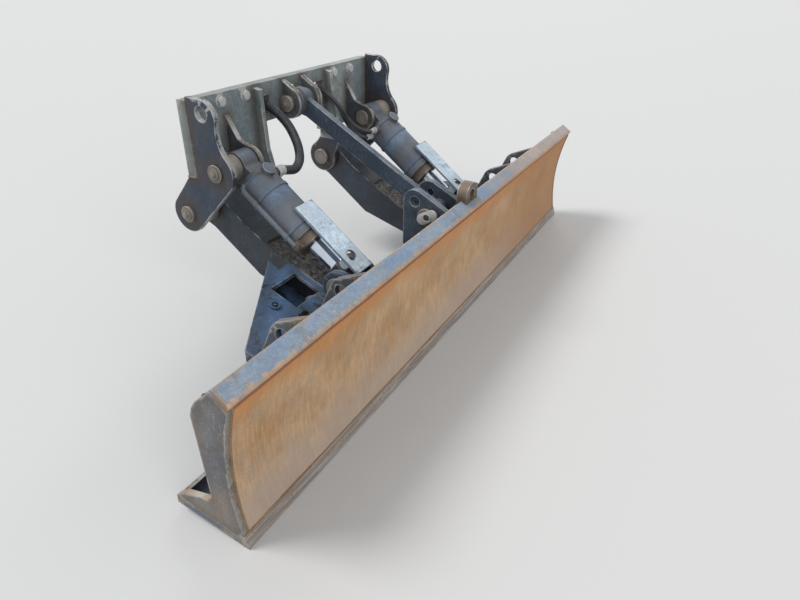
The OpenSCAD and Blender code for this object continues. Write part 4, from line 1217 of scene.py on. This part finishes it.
# A thick sleeve on the left and two hoses on the right, from the bracket's windows to ports on the barrels: each is
# a radius and its route on the right side; the crimp's profile is [along, more than the hose's radius]
hoses = {
    "left": [
        (17, [(168, 850, 768), (168, 800, 768), (168, 745, 750), (165, 690, 705), (169.7, 650.2, 645.3),
              (194.7, 622.2, 598.3), (239.7, 608.2, 575.3), (276.7, 613.2, 579.3), (296.7, 618.2, 584.3),
              (308.7, 619.2, 585.3), (320.7, 619.2, 585.3), (332.7, 619.2, 585.3)]),
    ],
    "right": [
        (9, [(156, 850, 772), (158, 800, 770), (168, 752, 752), (186, 708, 708), (217.7, 690.2, 654.3),
             (244.7, 665.2, 615.3), (272.7, 638.2, 593.3), (294.7, 623.2, 586.3), (308.7, 619.2, 585.3),
             (320.7, 619.2, 585.3), (332.7, 619.2, 585.3)]),
        (9, [(180, 850, 766), (182, 800, 764), (188, 752, 742), (210, 724, 696), (239.7, 716, 640.2),
             (256.7, 694, 597.2), (276.7, 660, 566.2), (295.7, 644, 558.2), (308.7, 640, 557.2),
             (320.7, 640, 557.2), (332.7, 640, 557.2)]),
    ],
    "sides": 24, "steps": 12, "roundMap": 0.006, "blendFrom": (160, 800, 768), "blendTo": (300, 625, 575),
    "crimp": [(-36, 0.4), (-35, 2.2), (-29, 2.6), (-28, 1.6), (-23, 1.6), (-22, 2.6), (-15, 2.6), (-14.5, 0.8),
              (-14.5, -2)],
    "nutBack": 14, "nutFlat": 3.5, "nutHeight": 12, "washer": 1.5,
}


def makeHoses(sideName):
    forms, fittings, u, v = [], [], [], []
    sides, washer = hoses["sides"], hoses["washer"]
    for radius, route in hoses[sideName]:
        path = smoothPath(route, hoses["steps"])
        forms.append(tube(path, radius, sides))
        u.append(np.repeat(runOf(path) / 1000, sides))
        v.append(np.tile(np.arange(sides) / sides * hoses["roundMap"] * radius, len(path)))
        mouth = np.array(route[-1])
        fittings.append(turned(mouth, (1, 0, 0), np.array(hoses["crimp"]) + [0, radius], ringSides))
        fittings.append(hexHead(mouth - [hoses["nutBack"], 0, 0], (1, 0, 0), radius + hoses["nutFlat"],
                                hoses["nutHeight"], (radius + washer, washer)))
    obj = addForms("hose_run_" + sideName, onSide(sideName, forms), None, "hoseRubber", soft, ["hoses_" + sideName])
    sheetMap(obj.data, np.concatenate(u), np.concatenate(v))
    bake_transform(obj)
    addForms("hose_fittings_" + sideName, onSide(sideName, fittings), "barrel_" + sideName, "zincSteel", crisp)


makeHoses("left")
makeHoses("right")
print("stage: trim made")

# The bed of soil in an arm's trough, its bumps, and the stones that lie on it
soil = {
    "along": (274, 496), "across": (305, 425), "grid": (90, 44), "floor": 25, "above": 0.6, "depth": 3, "deepest": 13,
    "border": 10, "bumps": 120, "bumpWidth": (5, 22), "bumpHeight": (0.3, 1.4), "bumpAlong": (270, 500),
    "bumpAcross": (300, 430), "stones": 150, "stoneR": (2, 6.5), "stoneShare": (0.5, 1), "stoneForm": (0.7, 1.2),
    "stoneRise": 0.25, "margin": 4, "stoneGrid": (6, 9), "pole": 0.15, "wave": 0.2, "waveSpread": 2.4,
    "waveStart": 6, "below": 1,
}


# A stone: a ball stretched by its radii, its radius waved by a cosine of its direction
def stone(centre, radii):
    rows, sides = soil["stoneGrid"]
    t = np.linspace(soil["pole"], math.pi - soil["pole"], rows)[:, None]
    a = fullTurn(sides)
    way = np.stack(np.broadcast_arrays(np.sin(t) * np.cos(a), np.sin(t) * np.sin(a), np.cos(t)), -1)
    wave = 1 + soil["wave"] * np.cos(way @ dice.normal(0, soil["waveSpread"], 3) + dice.uniform(0, soil["waveStart"]))
    return (centre + radii * way * wave[..., None]).reshape(-1, 3), sweptFaces(rows, sides)


# Soil and stones in each arm's trough: a bed whose height is a sum of round bumps, sinking to the floor at its rim
def makeSoil():
    way, rise = lineAxes(size["root"], size["pivot"])
    rows, cols = soil["grid"]
    s = np.linspace(*soil["along"], rows)[:, None]
    x = np.linspace(*soil["across"], cols)[None]
    count, margin = rows * cols, soil["margin"]
    top = gridQuads(rows, cols, closeCols=False)
    border = np.concatenate([np.arange(cols), np.arange(1, rows) * cols + cols - 1,
                             (rows - 1) * cols + np.arange(cols - 2, -1, -1), np.arange(rows - 2, 0, -1) * cols])
    after = np.roll(border, -1)
    walls = np.stack([border, border + count, after + count, after], -1)
    faces = np.concatenate([top, top[:, ::-1] + count, walls]).tolist()
    for sideName, sign in (("left", -1), ("right", 1)):
        h = np.zeros(soil["grid"])
        for k in range(soil["bumps"]):
            wide, high, atS, atX = (dice.uniform(*soil[key])
                                    for key in ("bumpWidth", "bumpHeight", "bumpAlong", "bumpAcross"))
            h += high * np.exp(-((s - atS) ** 2 + (x - atX) ** 2) / wide ** 2)
        inside = np.minimum(np.minimum(s - s[0], s[-1] - s), np.minimum(x - x[0, 0], x[0, -1] - x))
        rim = np.clip(inside / soil["border"], 0, 1) ** 0.5
        h = soil["floor"] + soil["above"] + np.minimum(h + soil["depth"], soil["deepest"]) * rim
        bed = np.array([0, *size["root"]]) + s[..., None] * way + h[..., None] * rise
        bed[..., 0] = x
        low = bed - rise * (h - soil["floor"] + soil["below"])[..., None]
        forms = [(np.concatenate([bed.reshape(-1, 3), low.reshape(-1, 3)]), faces)]
        for k in range(soil["stones"]):
            i, j = dice.integers(margin, rows - margin), dice.integers(margin, cols - margin)
            r = dice.uniform(*soil["stoneR"]) * dice.uniform(*soil["stoneShare"])
            forms.append(stone(bed[i, j] + [0, 0, r * soil["stoneRise"]], r * dice.uniform(*soil["stoneForm"], 3)))
        forms = [(points * [sign, 1, 1], theirs) for points, theirs in forms]
        addForms("trough_soil_" + sideName, forms, "lower_arms", "drySoil", soft)


makeSoil()
print("stage: soil laid")
